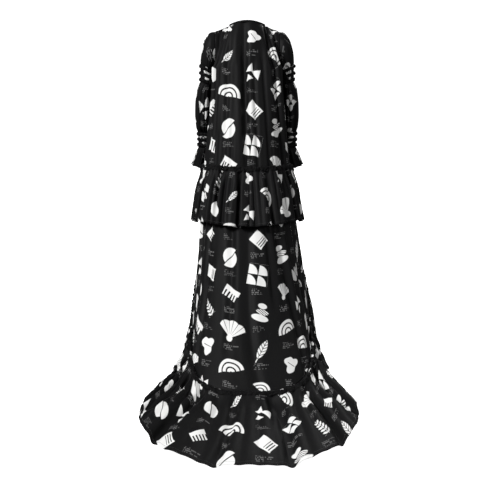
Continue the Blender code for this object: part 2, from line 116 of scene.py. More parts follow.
class SleeveRow(NamedTuple):
    """A ring of the sleeve: its outer and inner points, half its depth front to back, and its centre's y."""

    outer_x: float
    outer_z: float
    inner_x: float
    inner_z: float
    depth: float
    centre_y: float


BODICE_SECTIONS = (
    Section(0.135, -0.080, -0.141, 0.161, 0.000, 1.80, 2.2, -0.225, -0.205, -0.195),
    Section(0.140, -0.085, -0.170, 0.166, 0.000, 1.80, 2.2, -0.310, -0.300, -0.292),
    Section(0.146, -0.085, -0.208, 0.179, 0.000, 1.80, 2.2, -0.425, -0.415, -0.395),
    Section(0.155, -0.072, -0.256, 0.193, 0.000, 1.85, 2.2, -0.545, -0.550, -0.515),
    Section(0.165, -0.055, -0.305, 0.210, 0.000, 1.95, 2.2, -0.670, -0.688, -0.641),
)
SKIRT_SECTIONS = (
    BODICE_SECTIONS[-1],
    Section(0.176, -0.085, -0.407, 0.222, 0.003, 2.05, 2.3, -0.770, -0.800, -0.870),
    Section(0.186, -0.140, -0.546, 0.236, 0.008, 2.20, 2.5, -0.870, -0.925, -1.079),
    Section(0.194, -0.230, -0.703, 0.252, 0.014, 2.40, 2.8, -0.970, -1.080, -1.274),
    Section(0.202, -0.350, -0.900, 0.272, 0.018, 2.60, 3.2, -1.070, -1.280, -1.425),
)
PEPLUM_SECTIONS = (
    BODICE_SECTIONS[-1],
    Section(0.190, -0.060, -0.350, 0.238, 0.000, 2.0, 2.2, -0.755, -0.775, -0.722),
    Section(0.209, -0.062, -0.392, 0.250, 0.001, 2.0, 2.2, -0.840, -0.865, -0.798),
    Section(0.224, -0.065, -0.432, 0.262, 0.002, 2.0, 2.2, -0.925, -0.955, -0.875),
)
HEM_LEVEL = FLOOR + 0.0015
HEM_SECTION = Section(0.255, -0.930, -1.325, 0.430, 0.004, 2.40, 2.14, HEM_LEVEL, HEM_LEVEL, HEM_LEVEL)

BODICE_FOLDS = (
    Fold(-0.34, 0.040, 0.006, 0.012),
    Fold(-0.02, 0.035, 0.005, 0.010),
    Fold(0.25, 0.035, 0.005, 0.012),
    Fold(0.42, 0.035, 0.004, 0.008),
    Fold(-0.80, 0.040, 0.003, 0.009),
    Fold(0.97, 0.040, 0.003, 0.008),
    Fold(0.76, 0.040, 0.003, 0.010),
)
SKIRT_FOLDS = (
    Fold(-0.58, 0.045, 0.008, 0.012),
    Fold(-0.36, 0.045, 0.011, 0.026),
    Fold(-0.10, 0.040, 0.006, 0.006),
    Fold(0.16, 0.040, 0.007, 0.008),
    Fold(0.36, 0.045, 0.011, 0.024),
    Fold(0.56, 0.045, 0.008, 0.014),
    Fold(-0.82, 0.045, 0.007, 0.014),
    Fold(0.80, 0.045, 0.007, 0.014),
    Fold(1.00, 0.045, 0.006, 0.010),
)
HEAD_ROWS = (
    SleeveRow(0.176, -0.049, 0.1560, -0.2085, 0.060, 0.002),
    SleeveRow(0.201, -0.080, 0.1570, -0.2110, 0.060, 0.005),
    SleeveRow(0.217, -0.130, 0.1580, -0.2140, 0.056, 0.008),
    SleeveRow(0.222, -0.168, 0.1590, -0.2170, 0.051, 0.010),
)
FOREARM_ROWS = (
    SleeveRow(0.241, -0.305, 0.165, -0.312, 0.055, 0.022),
    SleeveRow(0.252, -0.370, 0.167, -0.374, 0.059, 0.030),
    SleeveRow(0.256, -0.440, 0.171, -0.443, 0.057, 0.040),
    SleeveRow(0.253, -0.490, 0.176, -0.492, 0.049, 0.047),
)
UPPER_BANDS = (
    SleeveRow(0.222, -0.197, 0.1610, -0.2290, 0.0460, 0.012),
    SleeveRow(0.223, -0.229, 0.1630, -0.2540, 0.0460, 0.014),
    SleeveRow(0.224, -0.260, 0.1645, -0.2800, 0.0460, 0.016),
)
WRIST_BANDS = (
    SleeveRow(0.245, -0.524, 0.182, -0.525, 0.036, 0.055),
    SleeveRow(0.245, -0.553, 0.183, -0.554, 0.034, 0.059),
    SleeveRow(0.245, -0.582, 0.184, -0.583, 0.033, 0.063),
)
WRIST_END = SleeveRow(0.246, -0.5935, 0.183, -0.5945, 0.034, 0.065)
CUFF_HEM = SleeveRow(0.279, -0.690, 0.210, -0.700, 0.050, 0.092)
PUFF = SleeveRow(0.002, 0.0, -0.0010, 0.0, 0.002, 0.0)


def between(table: Sequence, fraction: float) -> Array:
    """The row of a table at a fraction of its length, on a curve through its rows.

    Args:
        table: rows of numbers.
        fraction: 0 at the first row, 1 at the last.

    Returns:
        The row's numbers.
    """
    rows = np.array(table, float)
    place = min(max(fraction, 0.0), 1.0) * (len(rows) - 1)
    first = min(int(place), len(rows) - 2)
    part = place - first
    start, end = rows[first], rows[first + 1]
    slope_in = (end - rows[first - 1]) / 2 if first else end - start
    slope_out = (rows[first + 2] - start) / 2 if first + 2 < len(rows) else end - start
    square, cube = part**2, part**3
    return (
        (2 * cube - 3 * square + 1) * start
        + (cube - 2 * square + part) * slope_in
        + (3 * square - 2 * cube) * end
        + (cube - square) * slope_out
    )


def ring(section: Sequence[float], shares: Array, pinch: tuple[float, float] = (0.0, 0.0)) -> Array:
    """Points round a section, evenly along the cloth.

    Args:
        section: the section's numbers.
        shares: shares of half the girth from centre back, below 0 on the wearer's left.
        pinch: how far the ring draws in between the feet and the train, on the left and the right.

    Returns:
        One point for each share.
    """
    s = Section(*section)
    angle = np.linspace(0.0, math.pi, 721)
    behind = np.cos(angle)
    power = np.where(behind > 0, 2 / s.square_back, 2 / s.square_front)
    along = np.abs(behind) ** power
    across = np.abs(np.sin(angle)) ** power
    y = s.widest + np.where(behind > 0, s.back - s.widest, s.front - s.widest) * along
    drop_back = 1 - (1 - along) ** 2
    z = s.z_side + np.where(behind > 0, (s.z_back - s.z_side) * drop_back, (s.z_front - s.z_side) * along)
    shares = np.asarray(shares, float)
    halves = []
    for part in pinch:
        draw_in = 1 - part * np.exp(-(((y - PINCH_Y) / PINCH_REACH) ** 4))
        half = np.stack([s.half * across * draw_in, y, z], axis=1)
        length = np.r_[0.0, np.cumsum(np.linalg.norm(np.diff(half, axis=0), axis=1))]
        length /= length[-1]
        halves.append(np.stack([np.interp(np.abs(shares), length, half[:, i]) for i in range(3)], axis=1))
    points = np.where(shares[:, None] < 0, halves[0], halves[1])
    points[:, 0] = points[:, 0] * np.sign(shares) + s.sway
    return points


def trough(distance: Array) -> Array:
    """The section of a fold: 1 in its bottom, with soft shoulders that stand a little proud beside it."""
    shoulder = np.exp(-((np.abs(distance) - SHOULDER_PLACE) ** 2))
    return np.exp(-(distance**2)) - SHOULDER_RISE * shoulder


@dataclass
class Drape:
    """A grid of cloth: rows from the top down, columns round the body."""

    points: Array
    shares: Array
    fractions: Array
    closed: bool

    def outward(self) -> Array:
        """Unit normals that point out of the garment.

        Returns:
            A unit vector for each point.
        """
        grid = self.points
        if self.closed:
            padded = np.pad(grid, ((0, 0), (1, 1), (0, 0)), mode="wrap")
            across = np.gradient(padded, axis=1)[:, 1:-1]
        else:
            across = np.gradient(grid, axis=1)
        normal = np.cross(across, np.gradient(grid, axis=0))
        normal /= np.maximum(np.linalg.norm(normal, axis=2, keepdims=True), 1e-12)
        away = grid - grid.mean(axis=1, keepdims=True)
        return normal * math.copysign(1.0, float((normal * away).sum()))

    def loop(self) -> Array:
        """The points, with the first column once more at the end of a closed grid."""
        return np.concatenate([self.points, self.points[:, :1]], axis=1) if self.closed else self.points

    def lengths(self, axis: int) -> Array:
        """How far it is from each point to the next, down the columns or along the rows."""
        return np.linalg.norm(np.diff(self.loop(), axis=axis), axis=2)

    def across(self) -> Array:
        """How far along its row each point lies, from the row's middle.

        Returns:
            A distance in metres for each row and column.
        """
        length = self.lengths(1)
        along = np.concatenate([np.zeros((len(length), 1)), np.cumsum(length, axis=1)], axis=1)
        middle = along.shape[1] // 2
        return along - along[:, middle:middle + 1]

    def round(self) -> Array:
        """How far round the cloth each column lies, from the middle, on the width of the lowest row.

        Returns:
            A distance in metres for each column.
        """
        along = np.r_[0.0, np.cumsum(self.lengths(1).mean(axis=0))]
        width = 2 * float(self.half_girths()[-1])
        return (along - along[len(along) // 2]) * width / along[-1]

    def down(self) -> Array:
        """How far down its column each point lies, below 0."""
        length = self.lengths(0)
        return -np.concatenate([np.zeros((1, length.shape[1])), np.cumsum(length, axis=0)], axis=0)

    def half_girths(self) -> Array:
        """Half of the length once round, in metres, for each row.

        Returns:
            A length for each row.
        """
        length = self.lengths(1).sum(axis=1)
        turn = 2.0 if self.closed else float(np.abs((np.diff(self.shares) + 1) % 2 - 1).sum())
        return length / turn

    def apart(self, at: Array) -> Array:
        """How far each point lies from a share round its row, in metres."""
        wrapped = (self.shares[None, :] - at + 1) % 2 - 1
        return wrapped * self.half_girths()[:, None]

    def push(self, depth: Array) -> None:
        """Moves each point out along its normal by a depth."""
        self.points = self.points + self.outward() * depth[..., None]

    def crease(self, creases: Sequence[Crease]) -> Array:
        """How far a set of creases pushes each point out.

        Args:
            creases: troughs and ridges.

        Returns:
            A depth for each point, below 0 in a trough.
        """
        depth = np.zeros(self.points.shape[:2])
        for c in creases:
            way = (self.fractions - c.down) / (c.end - c.down)
            inside = np.clip(way, 0.0, 1.0)
            at = c.at + (c.to - c.at) * inside + c.bow * np.sin(math.pi * inside)
            ease = np.clip(np.minimum(way * 4 + 0.6, (1 - way) * 4 + 0.6), 0.0, 1.0)
            ease = ease * ease * (3 - 2 * ease)
            depth -= c.depth * ease[:, None] * trough(self.apart(at[:, None]) / c.width)
        return depth


class Ruffle(NamedTuple):
    """Folds round a piece, uneven in spacing.

    count is their number once round, warp the unevenness of their spacing and seed where it starts. sharp is 0
    for soft waves, and towards 1 for pipes with narrow dips.
    """

    count: int
    warp: float
    seed: float
    sharp: float

    def height(self, turn: Array) -> Array:
        """The height of the folds, from -1 to 1, at each share of a turn round the piece.

        Args:
            turn: how far round each column is, 0 to 1.

        Returns:
            A height for each column.
        """
        start = np.sin(2 * math.pi * (3 * turn + self.seed))
        start = start + np.sin(2 * math.pi * (5 * turn + 2.3 * self.seed))
        wave = np.cos(2 * math.pi * (self.count * turn + self.warp * start))
        pipes = 1 - 2 * ((1 - wave) / 2) ** 3
        return wave * (1 - self.sharp) + pipes * self.sharp


class Gathers(NamedTuple):
    """Fine gathers under a seam, each of its own depth, place, length and lean."""

    count: int
    seed: int

    def height(self, turn: Array, down: Array) -> Array:
        """The height of the gathers, from about -1 to 1.

        Args:
            turn: how far round each column is, 0 to 1.
            down: how far below the seam each row is, in metres.

        Returns:
            A height for each row and column.
        """
        rng = np.random.default_rng(self.seed)
        count = self.count
        places = (np.arange(count) + rng.uniform(-GATHER_SHIFT, GATHER_SHIFT, count)) / count
        depths = rng.uniform(*GATHER_DEPTH, count)
        reaches = rng.uniform(*GATHER_REACH, count)
        leans = rng.uniform(-GATHER_LEAN, GATHER_LEAN, count) / count
        height = np.zeros((len(down), len(turn)))
        down = down[:, None]
        width = GATHER_WIDTH / count * (1 + down / 0.06)
        for place, depth, reach, lean in zip(places, depths, reaches, leans):
            apart = (turn - (place + lean * (down / 0.02)) + 0.5) % 1 - 0.5
            height -= depth * np.exp(-(np.abs(apart / width) ** 1.5)) * np.exp(-((down / reach) ** 1.5))
        return height + GATHER_BULGE * np.exp(-((down / 0.04) ** 1.5))


def even_cut(across: Array, down: Array, right: float, up: float) -> Array:
    """The flat cut of a piece with straight rows.

    Args:
        across: how far across each column lies.
        down: how far down each row lies, below 0.
        right: where the cut lies on the printed cloth, across.
        up: where it lies, upwards.

    Returns:
        The cut's coordinates for each row and column.
    """
    across, down = np.broadcast_arrays(across[None, :], down[:, None])
    return np.dstack([across + right, down + up])


def add_object(name: str, data: bpy.types.ID) -> bpy.types.Object:
    """Makes an object at the origin and links it to the scene.

    Args:
        name: its name.
        data: its mesh, camera or lamp.

    Returns:
        The object.
    """
    made = bpy.data.objects.new(name, data)
    bpy.context.scene.collection.objects.link(made)
    return made


def tube_mesh(name: str, rings: Sequence[Array]) -> bpy.types.Mesh:
    """A closed tube through rings of points, the last joined to the first, with its faces outwards.

    Args:
        name: the mesh's name.
        rings: the rings, all of one length.

    Returns:
        The mesh.
    """
    count = len(rings[0])
    faces = []
    for k in range(len(rings)):
        low, high = k * count, (k + 1) % len(rings) * count
        for j in range(count):
            after = (j + 1) % count
            faces.append((low + j, low + after, high + after, high + j))
    made = bpy.data.meshes.new(name)
    made.from_pydata(np.vstack(rings).tolist(), [], faces)
    shape = bmesh.new()
    shape.from_mesh(made)
    bmesh.ops.recalc_face_normals(shape, faces=shape.faces[:])
    shape.to_mesh(made)
    shape.free()
    return made


@dataclass
class ClothPiece:
    """One sewn piece of cloth: a fine drape with the flat cut's own coordinates."""

    name: str
    drape: Drape
    cut: Array
    thickness: float = 0.0009
    lift: float = 0.0004
    shaped: float = 1.0

    def flat_size(self) -> tuple[float, float]:
        """The width and length of the rectangle that the flat cut fits in, in metres."""
        low, high = self.cut.reshape(-1, 2).min(axis=0), self.cut.reshape(-1, 2).max(axis=0)
        return float(high[0] - low[0]), float(high[1] - low[1])

    def flat_area(self) -> float:
        """The area of the flat cut, in square metres.

        Returns:
            The area.
        """
        width = self.cut[:, -1, 0] - self.cut[:, 0, 0]
        length = self.cut[0, :, 1].mean() - self.cut[-1, :, 1].mean()
        return float(abs(width.mean() * length)) * self.shaped

    def build(self, finish: bpy.types.Material) -> bpy.types.Object:
        """Makes the cloth: a sheet with its thickness outwards, its cut as its UV map.

        Args:
            finish: the cloth's material.

        Returns:
            The piece.
        """
        rows, columns = self.drape.points.shape[:2]
        points = self.drape.points + self.drape.outward() * self.lift
        facing = np.cross(np.gradient(points, axis=1), np.gradient(points, axis=0))
        turn = float((facing * (points - points.mean(axis=1, keepdims=True))).sum())
        wide = columns if self.drape.closed else columns - 1
        faces, corners = [], []
        for row in range(rows - 1):
            for column in range(wide):
                after = (column + 1) % columns
                low, high = row * columns, (row + 1) * columns
                face = [low + column, low + after, high + after, high + column]
                corner = [(row, column), (row, column + 1), (row + 1, column + 1), (row + 1, column)]
                faces.append(face if turn > 0 else face[::-1])
                corners += corner if turn > 0 else corner[::-1]
        mesh = bpy.data.meshes.new(self.name)
        mesh.from_pydata(points.reshape(-1, 3).tolist(), [], faces)
        layer = mesh.uv_layers.new(name="cut")
        index = np.array(corners)
        layer.data.foreach_set("uv", self.cut[index[:, 0], index[:, 1]].astype(np.float32).ravel())
        mesh.shade_smooth()
        mesh.materials.append(finish)
        piece = add_object(self.name, mesh)
        wall = piece.modifiers.new("Cloth thickness", "SOLIDIFY")
        wall.thickness = self.thickness
        wall.offset = 1.0
        wall.use_even_offset = False
        wall.thickness_clamp = 2.0
        return piece


class Panel(enum.Enum):
    """The two halves of the bodice."""

    BACK = "bodice_back"
    FRONT = "bodice_front"


@dataclass
class Bodice:
    """The trapeze bodice: a back and a front panel between the neck, the armholes and the hip seam."""

    columns: int = 168
    ring_rows: int = 84
    yoke_rows: int = 32
    side_share: float = 0.56
    neck_half: float = 0.082
    neck_back: float = 0.062
    neck_front: float = 0.105
    shoulder_half: float = 0.150
    shoulder_drop: float = 0.044
    armhole_back: float = 0.050
    armhole_front: float = 0.052
    neck_drop: float = 0.018
    front_drop: float = 0.085
    seam_share: float = 5 / 12
    seam_gap: float = 0.00015
    yoke_length: float = 0.21
    fall_length: float = 0.49
    print_place: dict[Panel, float] = field(default_factory=lambda: {Panel.BACK: 0.035, Panel.FRONT: 0.51})
    creases: dict[Panel, Sequence[Crease]] = field(default_factory=lambda: {
        Panel.BACK: (
            Crease(-0.46, 0.02, -0.42, 1.10, 0.014, 0.0150, 0.010),
            Crease(-0.37, 0.00, -0.33, 0.90, 0.011, 0.0120, 0.008),
            Crease(-0.29, 0.05, -0.26, 1.10, 0.009, 0.0085, -0.010),
            Crease(-0.20, 0.16, -0.17, 1.10, 0.011, 0.0070, 0.010),
            Crease(-0.04, 0.05, 0.01, 1.10, 0.014, 0.0160, -0.006),
            Crease(0.06, 0.30, 0.07, 1.10, 0.009, 0.0060, 0.006),
            Crease(0.15, 0.22, 0.15, 1.10, 0.010, 0.0070, 0.010),
            Crease(0.25, 0.01, 0.29, 1.10, 0.011, 0.0150, 0.008),
            Crease(0.32, 0.00, 0.35, 0.90, 0.009, 0.0090, 0.010),
            Crease(0.43, 0.03, 0.41, 1.10, 0.012, 0.0135, -0.010),
            Crease(-0.51, 0.14, -0.50, 0.90, 0.012, 0.0080, 0.008),
            Crease(0.51, 0.12, 0.50, 0.95, 0.011, 0.0080, -0.006),
            Crease(-0.12, 0.72, -0.10, 1.10, 0.008, 0.0050, 0.0),
            Crease(0.19, 0.78, 0.18, 1.10, 0.007, 0.0045, 0.0),
            Crease(-0.24, 0.80, -0.22, 1.10, 0.007, 0.0045, 0.0),
        ),
        Panel.FRONT: (
            Crease(0.62, 0.16, 0.60, 0.95, 0.013, 0.0068, 0.010),
            Crease(0.72, 0.10, 0.76, 1.00, 0.014, 0.0085, -0.010),
            Crease(0.86, 0.24, 0.88, 1.00, 0.011, 0.0059, 0.008),
            Crease(0.98, 0.34, 0.97, 1.00, 0.012, 0.0076, 0.006),
            Crease(-0.90, 0.26, -0.88, 1.00, 0.012, 0.0059, -0.008),
            Crease(-0.78, 0.10, -0.80, 1.00, 0.014, 0.0085, 0.010),
            Crease(-0.66, 0.14, -0.64, 0.95, 0.012, 0.0068, -0.008),
        ),
    })

    def armhole(self, angles: Array, side: int) -> Array:
        """The armhole's edge: angle 0 is the shoulder point, pi the underarm, positive angles are in front.

        Args:
            angles: angles round the armhole.
            side: 1 on the wearer's right, -1 on the left.

        Returns:
            A point for each angle.
        """
        under = ring(BODICE_SECTIONS[0], np.array([self.side_share]))[0]
        tip = np.array([self.shoulder_half, 0.0, -self.shoulder_drop])
        depth = np.where(np.sin(angles) > 0, self.armhole_front, self.armhole_back) * np.sin(angles)
        points = (tip + under) / 2 + np.cos(angles)[:, None] * (tip - under) / 2
        points[:, 1] += depth
        points[:, 0] *= side
        return points

    def neck_edge(self, angle: float, front: bool) -> tuple[float, float, float]:
        """A point on the neck edge; the angle runs from the shoulder seam, 0, to the centre, a right angle.

        Args:
            angle: the angle, in radians.
            front: whether the point is in front.

        Returns:
            Its x, y and z.
        """
        y = self.neck_front if front else -self.neck_back
        if front:
            drop = self.neck_drop + (self.front_drop - self.neck_drop) * math.sin(angle) ** 1.5
        else:
            drop = self.neck_drop * math.cos(angle) ** 2
        return (self.neck_half * math.cos(angle), y * math.sin(angle), -drop)

    def top(self, shares: Array, front: bool) -> Array:
        """Shoulder seam, neck edge and shoulder seam, from the wearer's left to right.

        Args:
            shares: from -1 on the left to 1 on the right, one for each column.
            front: whether this is the front panel.

        Returns:
            A point for each column.
        """
        points = []
        for share in shares:
            way = 1 - abs(share)
            if way < self.seam_share:
                part = way / self.seam_share
                x = self.shoulder_half + (self.neck_half - self.shoulder_half) * part
                y, z = 0.0, -self.shoulder_drop + (self.shoulder_drop - self.neck_drop) * part
            else:
                x, y, z = self.neck_edge(math.pi / 2 * (way - self.seam_share) / (1 - self.seam_share), front)
            points.append((math.copysign(x, share), y + self.seam_gap * (1 if front else -1), z))
        return np.array(points)

    def yoke(self, top: Array, lower: Array, front: bool) -> Array:
        """The rows between the shoulders and the underarms, drawn between the top and the armholes.

        Args:
            top: the points of the upper edge.
            lower: the row at the underarms.
            front: whether this is the front panel.

        Returns:
            The rows.
        """
        angles = np.linspace(0.0, math.pi, self.yoke_rows + 1) * (1 if front else -1)
        left, right = self.armhole(angles, -1), self.armhole(angles, 1)
        left[0], right[0] = top[0], top[-1]
        left[-1], right[-1] = lower[0], lower[-1]
        down = np.linspace(0.0, 1.0, len(left))[:, None, None]
        over = np.linspace(0.0, 1.0, len(top))[None, :, None]
        loft = (1 - down) * top[None] + down * lower[None]
        from_left, from_right = left[:, None] - loft[:, :1], right[:, None] - loft[:, -1:]
        return loft + (1 - over) ** 3 * from_left + over**3 * from_right

    def panel(self, half: Panel) -> ClothPiece:
        """One panel, from the neck to the hip seam.

        Args:
            half: which panel.

        Returns:
            The panel's cloth.
        """
        front = half is Panel.FRONT
        side = self.side_share + 0.001 * (1 if front else -1)
        even = np.linspace(-1.0, 1.0, self.columns + 1)
        shares = even * side
        if front:
            shares = np.sign(even) * (1 - (1 - side) * np.abs(even))
            shares[self.columns // 2] = 1.0
        fractions = np.linspace(0.0, 1.0, self.ring_rows + 1)
        lower = np.array([ring(between(BODICE_SECTIONS, f), shares) for f in fractions])
        yoke = self.yoke(self.top(even, front), lower[0], front)
        above = np.linspace(0.0, 1.0, self.yoke_rows + 1)[:-1]
        whole = self.yoke_length + self.fall_length
        steps = np.r_[above * self.yoke_length, self.yoke_length + self.fall_length * fractions] / whole
        drape = Drape(np.vstack([yoke[:-1], lower]), shares, steps, False)
        strength = np.r_[above**2, np.ones_like(fractions)][:, None]
        drape.push(fold_depth(BODICE_FOLDS, shares, np.r_[np.zeros_like(above), fractions]) * strength)
        hold = np.clip((1 - np.abs(even)) / 0.06, 0.0, 1.0) ** 0.7
        drape.push(drape.crease(self.creases[half]) * hold)
        cut = np.dstack([drape.across(), drape.down()])
        cut[..., 0] += self.print_place[half]
        if front:
            cut[..., 1] -= cut[-1:, :, 1]
        return ClothPiece(half.value, drape, cut)

    def dress(self, finish: bpy.types.Material) -> None:
        """Builds and places both panels.

        Args:
            finish: the cloth's material.
        """
        for half in Panel:
            hang(self.panel(half), finish)


def hang(
    cloth: ClothPiece, finish: bpy.types.Material
) -> bpy.types.Object:
    """Args:
        cloth: the piece, named for its solid.
        finish: its material.

    Returns:
        The piece.
    """
    node = cloth.name
    cloth.name = f"{node}_cloth"
    piece = cloth.build(finish)
    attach(piece, BODY)
    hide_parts(node)
    width, length = cloth.flat_size()
    area = cloth.flat_area()
    log.info("%s: cut %.3f x %.3f m, %.3f m2", piece.name, width, length, area)
    return piece


def fold_depth(folds: Sequence[Fold], shares: Array, fractions: Array) -> Array:
    """How far the soft troughs of the solids push each point out, for each row and column.

    Args:
        folds: the troughs.
        shares: shares round the piece, one for each column.
        fractions: how far down each row is, 0 to 1.

    Returns:
        A depth for each row and column, below 0 in a trough.
    """
    depth = np.zeros((len(fractions), len(shares)))
    for fold in folds:
        apart = (shares[None, :] - fold.at + 1) % 2 - 1
        deep = fold.top_depth + (fold.hem_depth - fold.top_depth) * fractions[:, None]
        depth -= deep * np.exp(-((apart / fold.width) ** 2))
    return depth


def front_first(count: int) -> Array:
    """Even shares once round, from centre front by the wearer's left and the back."""
    return -1.0 + 2.0 * np.arange(count) / count


@dataclass
class Skirt:
    """The skirt between the hip seam and the flounce, swept back into the train."""

    round_count: int = 360
    rows: int = 104
    print_place: tuple[float, float] = (0.02, -0.09)
    creases: Sequence[Crease] = (
        Crease(-0.50, 0.30, -0.56, 1.00, 0.020, 0.0152, 0.020),
        Crease(-0.43, 0.05, -0.40, 0.70, 0.018, 0.0133, -0.012),
        Crease(-0.36, 0.30, -0.31, 1.00, 0.022, 0.0152, 0.015),
        Crease(-0.27, 0.00, -0.24, 0.55, 0.015, 0.0095, 0.010),
        Crease(-0.20, 0.45, -0.22, 1.00, 0.020, 0.0114, -0.015),
        Crease(-0.11, 0.02, -0.08, 0.80, 0.016, 0.0104, 0.012),
        Crease(0.00, 0.30, 0.02, 1.00, 0.020, 0.0095, -0.015),
        Crease(0.08, 0.00, 0.10, 0.60, 0.015, 0.0085, 0.010),
        Crease(0.16, 0.25, 0.20, 1.00, 0.020, 0.0114, 0.012),
        Crease(0.27, 0.00, 0.26, 0.65, 0.016, 0.0114, -0.010),
        Crease(0.35, 0.30, 0.38, 1.00, 0.022, 0.0162, -0.015),
        Crease(0.45, 0.04, 0.43, 0.75, 0.018, 0.0123, 0.012),
        Crease(0.50, 0.40, 0.55, 1.00, 0.020, 0.0152, -0.015),
        Crease(-0.66, 0.10, -0.70, 1.00, 0.020, 0.0133, 0.010),
        Crease(-0.90, 0.10, -0.92, 1.00, 0.018, 0.0114, 0.010),
        Crease(0.66, 0.12, 0.70, 1.00, 0.020, 0.0133, -0.010),
        Crease(0.90, 0.14, 0.90, 1.00, 0.018, 0.0114, -0.010),
    )

    def drape(self) -> Drape:
        """The skirt's cloth, from the hip seam to the flounce seam.

        Returns:
            The cloth.
        """
        shares = front_first(self.round_count)
        fractions = np.linspace(0.0, 1.0, self.rows + 1)
        grid = np.array([ring(between(SKIRT_SECTIONS, f), shares) for f in fractions])
        easing = np.sin(np.minimum(fractions * 1.15, 0.90) * math.pi)[:, None]
        from_bodice = np.maximum(1 - fractions / 0.40, 0.0)[:, None]
        depth = fold_depth(SKIRT_FOLDS, shares, fractions) * easing
        depth += fold_depth(BODICE_FOLDS, shares, np.array([1.0])) * from_bodice
        drape = Drape(grid, shares, fractions, True)
        drape.push(depth)
        fade = np.clip(np.minimum(fractions / 0.05, (1 - fractions) / 0.03), 0.0, 1.0)[:, None]
        drape.push(drape.crease(self.creases) * fade)
        return drape

    def dress(self, finish: bpy.types.Material) -> None:
        """Builds and places the skirt.

        Args:
            finish: the cloth's material.
        """
        drape = self.drape()
        half = drape.half_girths()[:, None]
        shares = np.r_[drape.shares, 1.0][None, :]
        right, up = self.print_place
        cut = np.dstack([shares * half + right, drape.down() + up])
        hang(ClothPiece("skirt", drape, cut), finish)


@dataclass
class Peplum:
    """The gathered peplum that falls from the hip seam over the skirt."""

    round_count: int = 560
    rows: int = 44
    length: float = 0.26
    heading: float = 0.010
    lift: float = 0.0090
    broad: Ruffle = Ruffle(24, 0.10, 0.2, 0.45)
    wave: float = 0.0105
    small: Ruffle = Ruffle(57, 0.22, 0.7, 0.3)
    ripple: float = 0.0060
    gathers: Gathers = Gathers(56, 11)
    gather: float = 0.0125
    print_place: tuple[float, float] = (0.05, -0.03)
    creases: Sequence[Crease] = (
        Crease(-0.300, 0.00, -0.320, 1.10, 0.0092, 0.0128, 0.006),
        Crease(-0.165, 0.00, -0.160, 1.10, 0.0103, 0.0180, -0.004),
        Crease(-0.050, 0.00, -0.050, 1.10, 0.0080, 0.0150, 0.004),
        Crease(0.010, 0.00, 0.008, 1.10, 0.0092, 0.0188, 0.000),
        Crease(0.115, 0.00, 0.125, 1.10, 0.0103, 0.0188, -0.004),
        Crease(0.190, 0.00, 0.205, 0.90, 0.0080, 0.0120, 0.006),
        Crease(0.290, 0.00, 0.300, 1.10, 0.0092, 0.0142, -0.006),
        Crease(0.400, 0.00, 0.410, 1.10, 0.0092, 0.0128, 0.006),
        Crease(-0.420, 0.00, -0.430, 1.10, 0.0092, 0.0135, -0.006),
        Crease(-0.550, 0.00, -0.545, 1.10, 0.0092, 0.0135, 0.006),
        Crease(-0.690, 0.00, -0.700, 1.10, 0.0103, 0.0150, 0.004),
        Crease(-0.840, 0.00, -0.830, 1.10, 0.0092, 0.0128, -0.004),
        Crease(0.550, 0.00, 0.560, 1.10, 0.0092, 0.0135, 0.004),
        Crease(0.680, 0.00, 0.670, 1.10, 0.0103, 0.0150, -0.006),
        Crease(0.820, 0.00, 0.830, 1.10, 0.0092, 0.0128, 0.004),
        Crease(0.960, 0.00, 0.955, 1.10, 0.0092, 0.0142, 0.004),
    )

    def drape(self) -> Drape:
        """The peplum's cloth: a short heading above the seam, gathers under it and ruffle folds to the hem.

        Returns:
            The cloth.
        """
        shares = front_first(self.round_count)
        turn = (shares / 2) % 1.0
        fractions = np.linspace(0.0, 1.0, self.rows + 1)
        grid = np.array([ring(between(PEPLUM_SECTIONS, f), shares) for f in fractions])
        up = ring(between(BODICE_SECTIONS, 0.9), shares) - grid[0]
        top = grid[0] + self.heading * up / np.linalg.norm(up, axis=1, keepdims=True)
        heading = [top * (1 - part) + grid[0] * part for part in (0.0, 0.35, 0.7)]
        grid = np.vstack([np.array(heading), grid])
        steps = np.r_[np.zeros(len(heading)), fractions]
        share = steps[:, None]
        drape = Drape(grid, shares, steps, True)
        depth = fold_depth(BODICE_FOLDS, shares, np.array([1.0])) * (1 - share)
        depth = depth + self.lift + self.gathers.height(turn, steps * self.length) * self.gather
        depth += self.broad.height(turn) * self.wave * share**0.8
        depth += self.small.height(turn) * self.ripple * np.clip(share * 3.5, 0, 1) * (1 - 0.55 * share)
        drape.push(depth)
        drape.push(drape.crease(self.creases) * np.clip((share + 0.02) * 12, 0.0, 1.0))
        return drape

    def dress(self, finish: bpy.types.Material) -> Drape:
        """Builds and places the peplum, and gives its drape.

        Args:
            finish: the cloth's material.

        Returns:
            The drape, for its trim and its stitches.
        """
        drape = self.drape()
        cut = even_cut(drape.round(), drape.down().mean(axis=1), *self.print_place)
        hang(ClothPiece("peplum", drape, cut), finish)
        return drape


